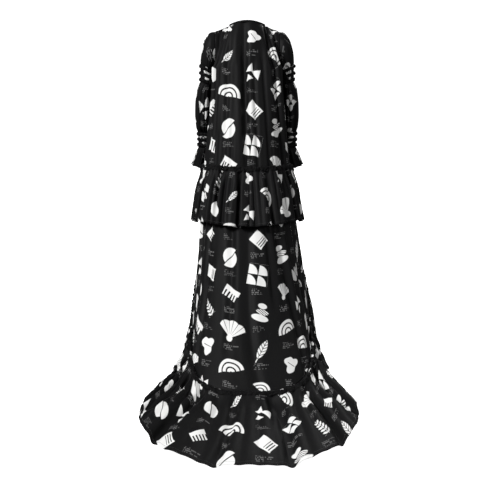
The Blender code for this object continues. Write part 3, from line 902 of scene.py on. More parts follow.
@dataclass
class Flounce:
    """The gathered flounce: it falls to the floor from the skirt's edge and lies there as the train's end."""

    round_count: int = 700
    rows: int = 60
    length: float = 0.40
    pinch: tuple[float, float] = (0.42, 0.27)
    fine_steps: int = 80
    broad: Ruffle = Ruffle(18, 0.12, 0.6, 0.25)
    wave: float = 0.0080
    small: Ruffle = Ruffle(61, 0.25, 0.35, 0.35)
    ripple: float = 0.0060
    gathers: Gathers = Gathers(88, 23)
    gather: float = 0.0125
    side_calm: float = 0.70
    side_share: float = 0.62
    side_width: float = 0.22
    tuck: float = 0.001
    print_place: tuple[float, float] = (0.01, -0.12)
    creases: Sequence[Crease] = (
        Crease(0.050, 0.04, 0.075, 1.00, 0.0234, 0.0195, 0.010),
        Crease(-0.040, 0.10, -0.060, 1.00, 0.0187, 0.0135, 0.006),
        Crease(-0.130, 0.04, -0.190, 1.00, 0.0203, 0.0186, -0.010),
        Crease(-0.220, 0.08, -0.290, 1.00, 0.0172, 0.0151, 0.010),
        Crease(-0.300, 0.03, -0.400, 1.00, 0.0203, 0.0195, 0.012),
        Crease(0.160, 0.05, 0.185, 1.00, 0.0172, 0.0151, 0.008),
        Crease(0.240, 0.03, 0.290, 1.00, 0.0218, 0.0195, -0.010),
        Crease(0.310, 0.06, 0.390, 1.00, 0.0172, 0.0169, 0.010),
        Crease(0.370, 0.00, 0.455, 0.80, 0.0156, 0.0169, 0.006),
        Crease(-0.380, 0.00, -0.470, 0.85, 0.0172, 0.0169, -0.008),
    )

    def fall(self, seam: Array, hem: Array, steps: Array) -> Array:
        """Rows of cloth from the seam, down to the floor and on along it to the hem.

        Args:
            seam: the points of the seam.
            hem: the points of the hem.
            steps: how far down each row is, 0 to 1.

        Returns:
            The rows.
        """
        height = seam[:, 2] - hem[:, 2]
        length = np.linalg.norm(hem - seam, axis=1)
        land = np.clip(0.12 + 1.35 * height / length, 0.0, 1.0)
        fine = np.linspace(0.0, 1.0, self.fine_steps + 1)[:, None]
        drop = height * (1 - np.minimum(fine / land, 1.0)) ** 1.6
        blend = np.clip((land - 0.93) / 0.06, 0.0, 1.0)
        drop = drop * (1 - blend) + height * (1 - fine) * blend
        step = np.diff(fine, axis=0) * length
        level = np.sqrt(np.maximum(step**2 - np.diff(drop, axis=0) ** 2, (0.15 * step) ** 2))
        way = np.vstack([np.zeros_like(height), np.cumsum(level, axis=0)])
        way /= way[-1]
        place = steps * self.fine_steps
        low = np.minimum(place.astype(int), self.fine_steps - 1)
        part = (place - low)[:, None]
        way = way[low] * (1 - part) + way[low + 1] * part
        drop = drop[low] * (1 - part) + drop[low + 1] * part
        flat = seam[None, :, :2] + (hem - seam)[None, :, :2] * way[:, :, None]
        return np.dstack([flat, hem[None, :, 2] + drop])

    def drape(self) -> Drape:
        """The flounce's cloth: gathers under the seam, then folds that fan out to the hem.

        Returns:
            The cloth.
        """
        shares = front_first(self.round_count)
        turn = (shares / 2) % 1.0
        steps = np.linspace(0.0, 1.0, self.rows + 1) ** 1.15
        share = steps[:, None]
        seam = ring(SKIRT_SECTIONS[-1], shares)
        hem = ring(HEM_SECTION, shares, self.pinch)
        drape = Drape(self.fall(seam, hem, steps), shares, steps, True)
        beside = (np.abs(shares) - self.side_share) / self.side_width
        calm = 1 - self.side_calm * np.exp(-(beside**4))
        depth = (self.gathers.height(turn, steps * self.length) + 0.7) * self.gather * calm
        depth += (1 + self.broad.height(turn)) * self.wave * np.minimum(share * 1.6, 1.0) ** 0.8
        depth += (1 + self.small.height(turn)) * self.ripple * np.clip(share * 4, 0.0, 1.0) * (1 - 0.75 * share)
        drape.push(depth)
        fade = np.clip(share / 0.06, 0.0, 1.0)
        drape.push(np.maximum(drape.crease(self.creases) * fade, -0.02) + 0.003 * fade)
        drape.points[..., 2] = np.maximum(drape.points[..., 2], HEM_LEVEL)
        tucked = seam + np.array([0.0, 0.0, self.tuck])
        return Drape(np.concatenate([tucked[None], drape.points]), shares, np.r_[0.0, steps], True)

    def dress(self, finish: bpy.types.Material) -> Drape:
        """Builds and places the flounce, and gives its drape.

        Args:
            finish: the cloth's material.

        Returns:
            The drape, for its trim and its stitches.
        """
        drape = self.drape()
        cut = even_cut(drape.round(), np.median(drape.down(), axis=1), *self.print_place)
        hang(ClothPiece("flounce", drape, cut), finish)
        return drape


def band_rows(group: Sequence[SleeveRow], height: float = 0.017) -> tuple[list[Array], list[int]]:
    """The sleeve rows of a group of bands.

    Args:
        group: the sleeve at the middle of each band.
        height: a band's height.

    Returns:
        The rows, with a puff between two bands, and the place of each band's upper edge among them.
    """
    steps = np.gradient(np.array(group, float), axis=0)
    rows: list[Array] = []
    places: list[int] = []
    for row, step in zip(group, steps):
        reach = np.zeros(len(row))
        reach[1] = height / 2
        reach[3] = reach[1] * min(step[3] / step[1], 1.0)
        if rows:
            rows.append((rows[-1] + row + reach) / 2 + PUFF)
        places.append(len(rows))
        rows += [row + reach, row - reach]
    return rows, places


def arm_angles(count: int, side: int) -> Array:
    """Even angles once round an arm, from its inside."""
    return (-math.pi + 2 * math.pi * np.arange(count) / count) * side


def arm_ring(row: Sequence[float], angles: Array, side: int) -> Array:
    """A sleeve ring: angle 0 is its outer or top point, pi its inner point, positive angles in front.

    Args:
        row: the ring's numbers.
        angles: angles round the arm.
        side: 1 on the wearer's right, -1 on the left.

    Returns:
        A point for each angle.
    """
    r = SleeveRow(*row)
    outer, inner = np.array([r.outer_x, 0.0, r.outer_z]), np.array([r.inner_x, 0.0, r.inner_z])
    points = (outer + inner) / 2 + np.cos(angles)[:, None] * (outer - inner) / 2
    points[:, 1] = r.centre_y + r.depth * np.sin(angles)
    points[:, 0] *= side
    return points


def hang_straight(
    name: str, drape: Drape, girth: float, place: tuple[float, float], shaped: float,
    finish: bpy.types.Material,
) -> None:
    """Builds and places a sleeve's or a cuff's cloth, cut straight across.

    Args:
        name: the solid that it stands for.
        drape: its cloth.
        girth: the cut's width.
        place: where the cut lies on the printed cloth.
        shaped: the share of its rectangle that the cut fills.
        finish: its material.
    """
    across = np.linspace(-1.0, 1.0, drape.points.shape[1] + 1) * girth / 2
    cut = even_cut(across, drape.down().mean(axis=1), *place)
    hang(ClothPiece(name, drape, cut, shaped=shaped), finish)


@dataclass
class Sleeve:
    """A bishop sleeve, drawn in by three ruched bands above the elbow and three at the wrist."""

    side: int
    bodice: Bodice
    round_count: int = 150
    finer: int = 6
    armhole_lift: float = 0.0021
    underarm_lift: float = 0.0036
    creases: Sequence[Crease] = (
        Crease(-0.25, 0.02, -0.18, 0.24, 0.008, 0.0045, 0.05),
        Crease(-0.62, 0.03, -0.50, 0.25, 0.009, 0.0050, -0.04),
        Crease(-0.42, 0.50, -0.50, 0.74, 0.009, 0.0060, 0.06),
        Crease(-0.12, 0.50, -0.05, 0.76, 0.010, 0.0055, -0.05),
        Crease(-0.74, 0.52, -0.68, 0.78, 0.009, 0.0055, 0.04),
        Crease(0.40, 0.50, 0.46, 0.76, 0.010, 0.0055, 0.05),
        Crease(0.75, 0.52, 0.72, 0.77, 0.009, 0.0050, -0.04),
    )

    @property
    def word(self) -> str:
        """The side in words, as the solids are named."""
        return "right" if self.side > 0 else "left"

    def rings(self) -> tuple[list[Array], list[float]]:
        """The sleeve's rows from the armhole to the wrist, and the row at each band's middle.

        Returns:
            The rows' numbers, and the middles as places among the rows.
        """
        upper, upper_places = band_rows(UPPER_BANDS)
        wrist, wrist_places = band_rows(WRIST_BANDS)
        above = [*HEAD_ROWS, *upper, *FOREARM_ROWS]
        middles = [1 + len(HEAD_ROWS) + place + 0.5 for place in upper_places]
        middles += [1 + len(above) + place + 0.5 for place in wrist_places]
        return [np.array(row, float) for row in [*above, *wrist, WRIST_END]], middles

    def drape(self) -> Drape:
        """The sleeve's cloth: loose folds above and below the elbow, and puckers under the bands.

        Returns:
            The cloth.
        """
        angles = arm_angles(self.round_count, self.side)
        rings, middles = self.rings()
        head = self.bodice.armhole(angles, self.side)
        under = (1 - np.cos(angles)) / 2
        head[:, 0] += self.side * (self.armhole_lift + self.underarm_lift * under**2)
        coarse = [head] + [arm_ring(row, angles, self.side) for row in rings]
        last = len(coarse) - 1
        places = np.linspace(0.0, last, last * self.finer + 1)
        table = np.array(coarse).reshape(len(coarse), -1)
        grid = []
        for place in places:
            first = min(int(place), last - 1)
            part = place - first
            plain = table[first] * (1 - part) + table[first + 1] * part
            grid.append((between(table, place / last) * 0.6 + plain * 0.4).reshape(-1, 3))
        drape = Drape(np.array(grid), angles / math.pi, places / places[-1], True)
        turn = (angles / (2 * math.pi)) % 1.0
        near = np.min(np.abs(places[:, None] - np.array(middles)[None, :]), axis=1, keepdims=True)
        pucker = np.exp(-((near / 1.1) ** 2))
        seed = 3 if self.side > 0 else 8
        forearm = np.exp(-(((places - 15.2) / 2.4) ** 2))[:, None]
        upper = np.exp(-(((places - 2.6) / 1.6) ** 2))[:, None]
        loose = Ruffle(9, 0.25, 0.23 * seed, 0.3).height(turn) * (0.0032 * forearm + 0.0012 * upper)
        drape.push(Ruffle(26, 0.3, 0.1 * seed, 0.5).height(turn) * 0.0014 * pucker + loose)
        mirrored = [c._replace(at=c.at * self.side, to=c.to * self.side) for c in self.creases]
        drape.push(drape.crease(mirrored))
        return drape

    def dress(self, finish: bpy.types.Material) -> Drape:
        """Builds and places the sleeve, and gives its drape.

        Args:
            finish: the cloth's material.

        Returns:
            The drape, for its bands.
        """
        drape = self.drape()
        place = (0.31 if self.side > 0 else 1.002, -0.055 * self.side)
        girth = 2 * float(drape.half_girths().max())
        hang_straight(f"sleeve_{self.word}", drape, girth, place, 0.88, finish)
        return drape


@dataclass
class Cuff:
    """A gathered cuff that flares over the hand."""

    sleeve: Sleeve
    round_count: int = 200
    rows: int = 26
    length: float = 0.10
    flare: float = 0.85
    wave: float = 0.005
    ripple: float = 0.0016
    overlap: float = 0.0009

    def drape(self) -> Drape:
        """The cuff's cloth, from the wrist to its hem.

        Returns:
            The cloth.
        """
        side = self.sleeve.side
        angles = arm_angles(self.round_count, side)
        start = np.array(WRIST_END, float) - np.array([0.0, self.overlap, 0.0, self.overlap, 0.0, 0.0])
        reach = np.array(CUFF_HEM, float) - start
        fractions = np.linspace(0.0, 1.0, self.rows + 1)
        grid = [arm_ring(start + reach * np.tile([f**self.flare, f], 3), angles, side) for f in fractions]
        drape = Drape(np.array(grid), angles / math.pi, fractions, True)
        wave = np.cos(8 * angles + 0.6 * np.sin(2 * angles))
        turn = (angles / (2 * math.pi)) % 1.0
        small = Ruffle(19, 0.25, 0.4 if side > 0 else 0.9, 0.3).height(turn)
        share = fractions[:, None]
        depth = (1 + wave) * self.wave * share
        depth += Gathers(34, 40 + side).height(turn, fractions * self.length) * self.ripple
        depth += small * self.ripple * np.clip(share * 3, 0, 1)
        drape.push(depth)
        return drape

    def dress(self, finish: bpy.types.Material) -> Drape:
        """Builds and places the cuff, and gives its drape.

        Args:
            finish: the cloth's material.

        Returns:
            The drape, for its stitches.
        """
        drape, word = self.drape(), self.sleeve.word
        girth = 2 * float(drape.half_girths()[-1])
        hang_straight(f"cuff_{word}", drape, girth, (0.2, -0.11), 1.0, finish)
        return drape


def math_operator(operation: str) -> Callable[..., "Value"]:
    """A method of Value that adds one Math node.

    Args:
        operation: the Math node's operation.

    Returns:
        The method.
    """

    def method(self: "Value", *others: "Number") -> "Value":
        """Adds the node and gives its result."""
        return self.tree.sum(operation, self, *others)

    return method


class Value:
    """A number in a node tree. Arithmetic with it adds nodes, and comparing it gives 1 or 0.

    A remainder is never below 0, and line(slope, start) is the number x slope + start.
    """

    def __init__(self, tree: "Tree", socket: bpy.types.NodeSocket) -> None:
        """Keeps the tree, and the socket that the number comes out of."""
        self.tree = tree
        self.socket = socket

    def __rsub__(self, other: float) -> "Value":
        """other - self."""
        return self.tree.sum("SUBTRACT", other, self)

    __add__, __sub__ = math_operator("ADD"), math_operator("SUBTRACT")
    __mul__, __truediv__ = math_operator("MULTIPLY"), math_operator("DIVIDE")
    __lt__, __gt__ = math_operator("LESS_THAN"), math_operator("GREATER_THAN")
    __mod__, __abs__ = math_operator("FLOORED_MODULO"), math_operator("ABSOLUTE")
    sine, cosine = math_operator("SINE"), math_operator("COSINE")
    floor, line = math_operator("FLOOR"), math_operator("MULTIPLY_ADD")


Number = Value | float


class Tree:
    """A node tree, with short ways to add the nodes that the finishes and forms use."""

    def __init__(self, tree: bpy.types.NodeTree) -> None:
        """Keeps the tree that the nodes go in."""
        self.tree = tree

    def node(self, kind: str, inputs: dict[int | str, object], **settings: object) -> bpy.types.Node:
        """Adds a node.

        Args:
            kind: its type.
            inputs: what its inputs get, by number or name: values, sockets or plain numbers.
            settings: its properties.

        Returns:
            The node.
        """
        made = self.tree.nodes.new(kind)
        for key, value in settings.items():
            setattr(made, key, value)
        for key, value in inputs.items():
            self.feed(made.inputs[key], value)
        return made

    def feed(self, socket: bpy.types.NodeSocket, value: object) -> None:
        """Links a value or a socket to an input, or sets the input to a plain number.

        Args:
            socket: the input.
            value: what it gets.
        """
        source = value.socket if isinstance(value, Value) else value
        if isinstance(source, bpy.types.NodeSocket):
            self.tree.links.new(source, socket)
        else:
            socket.default_value = source

    def sum(self, operation: str, *values: Number, clamp: bool = False) -> Value:
        """A Math node's result, held between 0 and 1 if clamp is set."""
        made = self.node("ShaderNodeMath", dict(enumerate(values)), operation=operation, use_clamp=clamp)
        return Value(self, made.outputs[0])

    def top(self, *values: Number) -> Value:
        """The largest of several values."""
        return functools.reduce(lambda a, b: self.sum("MAXIMUM", a, b), values)

    def least(self, *values: Number) -> Value:
        """The smallest of several values."""
        return functools.reduce(lambda a, b: self.sum("MINIMUM", a, b), values)

    def length(self, x: Value, y: Value) -> Value:
        """The length of (x, y)."""
        return self.sum("SQRT", x * x + y * y)

    def vector(self, *parts: Number) -> bpy.types.NodeSocket:
        """A vector; the parts left out are 0."""
        return self.node("ShaderNodeCombineXYZ", dict(enumerate(parts))).outputs[0]

    def split(self, vector: bpy.types.NodeSocket) -> tuple[Value, ...]:
        """The three parts of a vector."""
        made = self.node("ShaderNodeSeparateXYZ", {0: vector})
        return tuple(Value(self, part) for part in made.outputs)

    def scaled(self, vector: bpy.types.NodeSocket, size: Number) -> bpy.types.NodeSocket:
        """A vector times a number."""
        return self.node("ShaderNodeVectorMath", {0: vector, "Scale": size}, operation="SCALE").outputs[0]

    def dice(self, *values: Number) -> bpy.types.Node:
        """A White Noise node, which draws an even random number and colour for up to three values."""
        return self.node("ShaderNodeTexWhiteNoise", {"Vector": self.vector(*values)}, noise_dimensions="3D")

    def noise(self, place: bpy.types.NodeSocket, scale: float, detail: float = 2.0) -> Value:
        """The value of a Noise Texture at a place."""
        made = self.node("ShaderNodeTexNoise", {"Vector": place, "Scale": scale, "Detail": detail})
        return Value(self, made.outputs[0])

    def cut(self) -> bpy.types.NodeSocket:
        """The place on the flat cloth, in metres."""
        return self.node("ShaderNodeUVMap", {}, uv_map="cut").outputs[0]

    def in_object(self) -> bpy.types.NodeSocket:
        """The place in the piece's own coordinates."""
        return self.node("ShaderNodeTexCoord", {}).outputs["Object"]

    def mix(self, part: Value, *colours: object) -> bpy.types.NodeSocket:
        """A blend of two colours.

        Args:
            part: how much of the second there is.
            colours: the two, each a colour or a socket.

        Returns:
            The blend's socket.
        """
        made = self.node("ShaderNodeMix", {0: part}, data_type="RGBA")
        for socket, colour in zip([s for s in made.inputs if s.type == "RGBA"], colours):
            self.feed(socket, colour)
        return next(s for s in made.outputs if s.type == "RGBA")

    def bump(self, height: Value, strength: float, distance: float, **under: object) -> bpy.types.NodeSocket:
        """A Bump node's normal, over the one that Normal gives, if any."""
        inputs = {"Height": height, "Strength": strength, "Distance": distance, **under}
        return self.node("ShaderNodeBump", inputs).outputs[0]

    def attribute(self, name: str, kind: str = "FLOAT") -> bpy.types.NodeSocket:
        """A named attribute of the mesh that a form starts from."""
        return self.node("GeometryNodeInputNamedAttribute", {"Name": name}, data_type=kind).outputs[0]


class Motif(enum.Enum):
    """The small cut-paper shapes of the print. Each is drawn by the method of Shapes that has its name."""

    SPRIG = 0
    ARCH = 1
    TILE = 2
    SHELL = 3
    FEATHER = 4
    SHARDS = 5
    COMB = 6
    PEBBLES = 7
    BLOT = 8
    SPLIT = 9
    QUARTERS = 10


class Shapes:
    """Masks of the print's motifs, each in a circle of radius 1 round the middle of its place."""

    edge = 0.03

    def __init__(self, tree: Tree, x: Value, y: Value) -> None:
        """Keeps the place that the shapes are drawn at.

        Args:
            tree: the material's nodes.
            x: how far right of the motif's middle a point is.
            y: how far above it.
        """
        self.t = tree
        self.x, self.y = x, y
        self.ax, self.ay = abs(x), abs(y)
        self.r = tree.length(x, y)
        self.turn = tree.sum("ARCTAN2", y, x)

    def inside(self, distance: Value) -> Value:
        """1 inside a shape, 0 outside it, over a soft edge."""
        return self.t.sum("MULTIPLY_ADD", distance, -1.0 / self.edge, 0.5, clamp=True)

    def disc(self, x: float, y: float, wide: float, high: float) -> Value:
        """The distance to an oval, below 0 inside it."""
        return (self.t.length((self.x - x) / wide, (self.y - y) / high) - 1.0) * min(wide, high)

    def box(self, wide: float, high: float) -> Value:
        """The distance to a rectangle round the middle, below 0 inside it."""
        return self.t.top(self.ax - wide, self.ay - high)

    def triangle(self, x: float, y: float, size: float, tilt: float) -> Value:
        """The distance to a triangle, below 0 inside it.

        Args:
            x: how far right its middle is.
            y: how far up it is.
            size: its size.
            tilt: how far it is turned, in radians.

        Returns:
            The distance.
        """
        sides = []
        for corner in range(3):
            angle = tilt + corner * 2.2
            across = (self.x - x) * math.cos(angle)
            sides.append((self.y - y).line(math.sin(angle), across))
        return self.t.top(*sides) - size / 2

    def cut(self, shape: Value, *holes: Value) -> Value:
        """A mask with holes cut from it.

        Args:
            shape: the distance to the whole shape.
            holes: the distances to its holes.

        Returns:
            The mask.
        """
        result = self.inside(shape)
        for hole in holes:
            result = result * (1.0 - self.inside(hole))
        return result

    def sprig(self) -> Value:
        """A stem with pairs of leaves that grow smaller upwards.

        Returns:
            The mask.
        """
        t = self.t
        stem = t.top(self.ax - 0.03, self.ay - 0.95)
        place = t.sum("PINGPONG", self.ax.line(-0.55, self.y + 3.0), 0.18)
        bow = self.ax * 2.0 / self.y.line(-0.15, 0.44) - 1.0
        wide = (1.0 - bow * bow) * 0.125
        return self.inside(t.least(stem, t.top(place - wide, self.ay - 0.88)))

    def arch(self) -> Value:
        """Three half rings inside each other.

        Returns:
            The mask.
        """
        far = self.t.length(self.x, self.y + 0.42)
        bow = abs(far % 0.34 - 0.17) - 0.115
        return self.inside(self.t.top(bow, far - 1.02, -0.42 - self.y))

    def tile(self) -> Value:
        """A tile that is plain on one side and striped on the other."""
        stripe = (0.35 - (self.x * 26.0).sine()) * 0.1
        return self.cut(self.box(0.78, 0.60), self.t.top(stripe, 0.05 - self.x, self.ay - 0.45))

    def shell(self) -> Value:
        """A ribbed fan with a scalloped edge.

        Returns:
            The mask.
        """
        t = self.t
        high = self.y + 0.62
        far = t.length(self.x, high)
        angle = t.sum("ARCTAN2", self.x, high)
        scallop = abs((angle * 5.0).cosine()).line(0.10, 1.28)
        fan = t.top(far - scallop, abs(angle) - 0.92)
        ribs = (abs((angle * 10.0).sine()) - 0.17) * 0.25
        return t.top(self.cut(fan, t.top(ribs, 0.34 - far)), self.inside(far - 0.26))

    def feather(self) -> Value:
        """A long vane with slits along its barbs, on a quill.

        Returns:
            The mask.
        """
        t = self.t
        taper = t.top(1.0 - t.sum("POWER", self.ay * 1.12, 2.0), 0.0) * 0.30
        slits = (0.72 - ((self.y - self.ax) * 21.0).sine()) * 0.12
        stalk = t.top(self.ax - 0.035, abs(self.y + 0.95) - 0.16)
        return t.top(self.cut(self.ax - taper, slits, self.ax - 0.022), self.inside(stalk))

    def shards(self) -> Value:
        """Three loose triangles."""
        places = ((-0.38, 0.30, 0.50, 0.4), (0.42, 0.02, 0.58, 1.9), (-0.28, -0.52, 0.42, 3.0))
        return self.inside(self.t.least(*(self.triangle(*place) for place in places)))

    def comb(self) -> Value:
        """A block with teeth along one side."""
        gap = (0.10 - (self.x * 19.0).sine()) * 0.1
        return self.cut(self.box(0.80, 0.52), self.t.top(gap, self.y - 0.05))

    def pebbles(self) -> Value:
        """Three stones on top of each other, the middle one striped.

        Returns:
            The mask.
        """
        low, top = self.disc(0.0, -0.55, 0.78, 0.30), self.disc(-0.06, 0.52, 0.42, 0.24)
        stripe = (0.35 - (self.x.line(0.4, self.y) * 40.0).sine()) * 0.1
        middle = self.cut(self.disc(0.08, 0.0, 0.58, 0.24), stripe)
        return self.t.top(self.inside(self.t.least(low, top)), middle)

    def blot(self) -> Value:
        """A soft-edged patch with a slit.

        Returns:
            The mask.
        """
        wave = self.turn.line(3.0, 0.6).sine().line(0.15, 0.74)
        ripple = (self.turn * 5.0).sine() * 0.08
        slit = self.t.top(abs(self.x.line(0.5, self.y)) - 0.035, self.ax - 0.42)
        return self.cut(self.r - (wave + ripple), slit)

    def split(self) -> Value:
        """A disc in two halves that have slipped apart."""
        slip = self.t.sum("SIGN", self.x).line(0.13, self.y)
        return self.inside(self.t.top(self.t.length(self.x, slip) - 0.80, 0.045 - self.ax))

    def quarters(self) -> Value:
        """Four quarter circles, all turned the same way."""
        across, up = (self.x + 1.6) % 0.80, (self.y + 1.6) % 0.80
        return self.inside(self.t.top(self.t.length(across, up) - 0.73, self.box(0.80, 0.80)))

    def draw(self, motif: Motif) -> Value:
        """The mask of one motif."""
        return getattr(self, motif.name.lower())()


@dataclass(frozen=True)
class Finish:
    """What every finish has: a colour, a roughness, and how much it shines."""

    colour: Colour
    roughness: float
    specular: float = 0.5
    sheen: float = 0.0

    def base(self, tree: Tree) -> object:
        """The base colour."""
        return (*self.colour, 1.0)

    def relief(self, tree: Tree) -> bpy.types.NodeSocket:
        """The normal, with the relief that is too small for the mesh."""
        raise NotImplementedError

    def make(self, name: str) -> bpy.types.Material:
        """Makes the material.

        Args:
            name: its name.

        Returns:
            The material.
        """
        made = bpy.data.materials.new(name)
        made.use_nodes = True
        tree = Tree(made.node_tree)
        shader = made.node_tree.nodes["Principled BSDF"]
        tree.feed(shader.inputs["Base Color"], self.base(tree))
        tree.feed(shader.inputs["Normal"], self.relief(tree))
        shader.inputs["Roughness"].default_value = self.roughness
        shader.inputs["Specular IOR Level"].default_value = self.specular
        shader.inputs["Sheen Weight"].default_value = self.sheen
        made.diffuse_color = (*self.colour, 1.0)
        return made


@dataclass(frozen=True)
class PrintedCloth(Finish):
    """Crisp black cloth printed with small white shapes and rows of faint dashes."""

    colour: Colour = (0.0066, 0.0066, 0.0069)
    roughness: float = 0.58
    specular: float = 0.08
    pitch: tuple[float, float] = (0.132, 0.166)
    reach: tuple[float, float] = (0.037, 0.061)
    ink: Colour = (0.80, 0.80, 0.79)
    faint: float = 0.150
    line: float = 0.0085
    dash: float = 0.0042
    dash_start: float = 0.036
    dash_rows: float = 0.0135
    thread: float = 0.0006

    def place(self, tree: Tree) -> tuple[Value, ...]:
        """Splits the cut into places for a motif, every other column half a place lower.

        Args:
            tree: the material's nodes.

        Returns:
            x and y in metres from the middle of the place, which motif it has, and three even random numbers.
        """
        right, high, _ = tree.split(tree.cut())
        across = right / self.pitch[0]
        column = across.floor()
        up = high / self.pitch[1] + column % 2.0 * 0.5
        row = up.floor()
        dice = tree.dice(column, row)
        picks = tree.node("ShaderNodeSeparateColor", {0: dice.outputs["Color"]})
        mixed = column * 4.0 + row * 3.0 + (Value(tree, dice.outputs["Value"]) * 1.999).floor()
        x = (across - column - 0.5) * self.pitch[0]
        y = (up - row - 0.5) * self.pitch[1]
        return x, y, mixed % float(len(Motif)), *(Value(tree, pick) for pick in picks.outputs)

    def motifs(self, tree: Tree) -> tuple[Value, Value]:
        """The white shapes and the faint rows of dashes.

        Args:
            tree: the material's nodes.

        Returns:
            Both masks.
        """
        x, y, choice, turn, size, shift = self.place(tree)
        reach = size.line(self.reach[1] - self.reach[0], self.reach[0])
        near_x = x - (shift - 0.5) * 0.012
        near_y = y - (turn - 0.5).line(0.018, 0.010)
        angle = (turn - 0.5) * 1.8
        cosine, sine = angle.cosine(), angle.sine()
        right, up = near_x * cosine + near_y * sine, near_y * cosine - near_x * sine
        shapes = Shapes(tree, right / reach, up / reach)
        white: Number = 0.0
        for motif in Motif:
            chosen = tree.sum("COMPARE", choice, float(motif.value), 0.5)
            white = tree.sum("ADD", white, chosen * shapes.draw(motif))
        return white, self.dashes(tree, x, y, size)

    def dashes(self, tree: Tree, x: Value, y: Value, pick: Value) -> Value:
        """A few ragged rows of faint dashes at the foot of a place.

        Args:
            tree: the material's nodes.
            x: metres across from the middle of the place.
            y: metres up from the middle of the place.
            pick: a random number of the place.

        Returns:
            Their mask.
        """
        up = y / self.line
        row = up.floor()
        inside = abs(up - row - 0.5) < 0.33
        mark = Value(tree, tree.dice((x / self.dash).floor(), row, pick).outputs["Value"])
        length = Value(tree, tree.dice(row, pick, 0.5).outputs["Value"]).line(0.052, 0.018)
        start = x + self.dash_start
        wide = (start > 0.0) * (start < length)
        low = abs(y + (self.pitch[1] / 2 - 0.0145)) < self.dash_rows
        return (mark > 0.34) * inside * (low * wide)

    def base(self, tree: Tree) -> object:
        """The print on its ground; the dashes fade in and out along the cloth.

        Args:
            tree: the material's nodes.

        Returns:
            The colour's socket.
        """
        white, dashes = self.motifs(tree)
        uneven = tree.noise(tree.in_object(), 9.0)
        faint = (self.faint, self.faint, self.faint, 1.0)
        ground = tree.mix(dashes * uneven.line(1.2, 0.1), (*self.colour, 1.0), faint)
        return tree.mix(white, ground, (*self.ink, 1.0))

    def relief(self, tree: Tree) -> bpy.types.NodeSocket:
        """The weave and the soft wrinkles that are too small for the mesh.

        Args:
            tree: the material's nodes.

        Returns:
            The normal's socket.
        """
        cut = tree.cut()
        soft = tree.node("ShaderNodeMapping", {0: cut, "Scale": (30.0, 11.0, 1.0)})
        right, high, _ = tree.split(cut)
        rate = 2 * math.pi / self.thread
        wrinkles = tree.bump(tree.noise(soft.outputs[0], 1.0, 3.0), 0.35, 0.006)
        return tree.bump((right * rate).sine() * (high * rate).sine(), 0.12, 0.0001, Normal=wrinkles)


@dataclass(frozen=True)
class RuchedCloth(Finish):
    """The matte black cloth of the trims, near black in its tucks."""

    colour: Colour = (0.0028, 0.0028, 0.0030)
    roughness: float = 0.66
    specular: float = 0.10
    grain: float = 900.0

    def base(self, tree: Tree) -> object:
        """A colour that is a little uneven."""
        dark, light = ((*(c * share for c in self.colour), 1.0) for share in (0.6, 1.5))
        return tree.mix(tree.noise(tree.in_object(), 70.0), dark, light)

    def relief(self, tree: Tree) -> bpy.types.NodeSocket:
        """The weave."""
        return tree.bump(tree.noise(tree.in_object(), self.grain), 0.25, 0.0004)


@dataclass(frozen=True)
class Thread(Finish):
    """Black sewing thread."""

    colour: Colour = (0.012, 0.012, 0.0125)
    roughness: float = 0.5
    sheen: float = 0.2
    ply: float = 1500.0

    def relief(self, tree: Tree) -> bpy.types.NodeSocket:
        """The ply of the thread."""
        return tree.bump(tree.noise(tree.in_object(), self.ply), 0.3, 0.0002)


class FormTree:
    """A Geometry Nodes tree with named inputs, applied to a mesh and turned into a plain one."""

    def __init__(self, name: str, sizes: dict[str, float]) -> None:
        """Starts the tree.

        Args:
            name: the tree's name.
            sizes: its number inputs and their usual values.
        """
        self.tree = bpy.data.node_groups.new(name, "GeometryNodeTree")
        face = self.tree.interface
        face.new_socket("Geometry", in_out="INPUT", socket_type="NodeSocketGeometry")
        face.new_socket("Geometry", in_out="OUTPUT", socket_type="NodeSocketGeometry")
        self.sockets: dict[str, str] = {}
        for key, value in sizes.items():
            socket = face.new_socket(key, in_out="INPUT", socket_type="NodeSocketFloat")
            socket.default_value = value
            self.sockets[key] = socket.identifier
        socket = face.new_socket("Material", in_out="INPUT", socket_type="NodeSocketMaterial")
        self.sockets["Material"] = socket.identifier
        self.nodes = Tree(self.tree)
        self.start = self.nodes.node("NodeGroupInput", {}).outputs

    def finish(self, geometry: bpy.types.NodeSocket) -> None:
        """Realizes the instances, sets the material and ends the tree.

        Args:
            geometry: the form's last socket.
        """
        real = self.nodes.node("GeometryNodeRealizeInstances", {0: geometry})
        inputs = {"Geometry": real.outputs[0], "Material": self.start["Material"]}
        finish = self.nodes.node("GeometryNodeSetMaterial", inputs)
        self.nodes.node("NodeGroupOutput", {0: finish.outputs[0]})

    def grow(
        self, name: str, mesh: bpy.types.Mesh, sizes: dict[str, float], material: bpy.types.Material
    ) -> bpy.types.Object:
        """Runs the tree on a mesh.

        Args:
            name: the new piece's name.
            mesh: what the tree starts from.
            sizes: values for the named inputs that differ from the usual ones.
            material: the finish.

        Returns:
            A plain mesh object in the scene.
        """
        guide = add_object(f"{name}_guide", mesh)
        run = guide.modifiers.new("Form", "NODES")
        run.node_group = self.tree
        for key, value in sizes.items():
            run[self.sockets[key]] = value
        run[self.sockets["Material"]] = material
        graph = bpy.context.evaluated_depsgraph_get()
        made = bpy.data.meshes.new_from_object(guide.evaluated_get(graph))
        bpy.data.objects.remove(guide, do_unlink=True)
        made.name = name
        made.shade_smooth()
        return add_object(name, made)


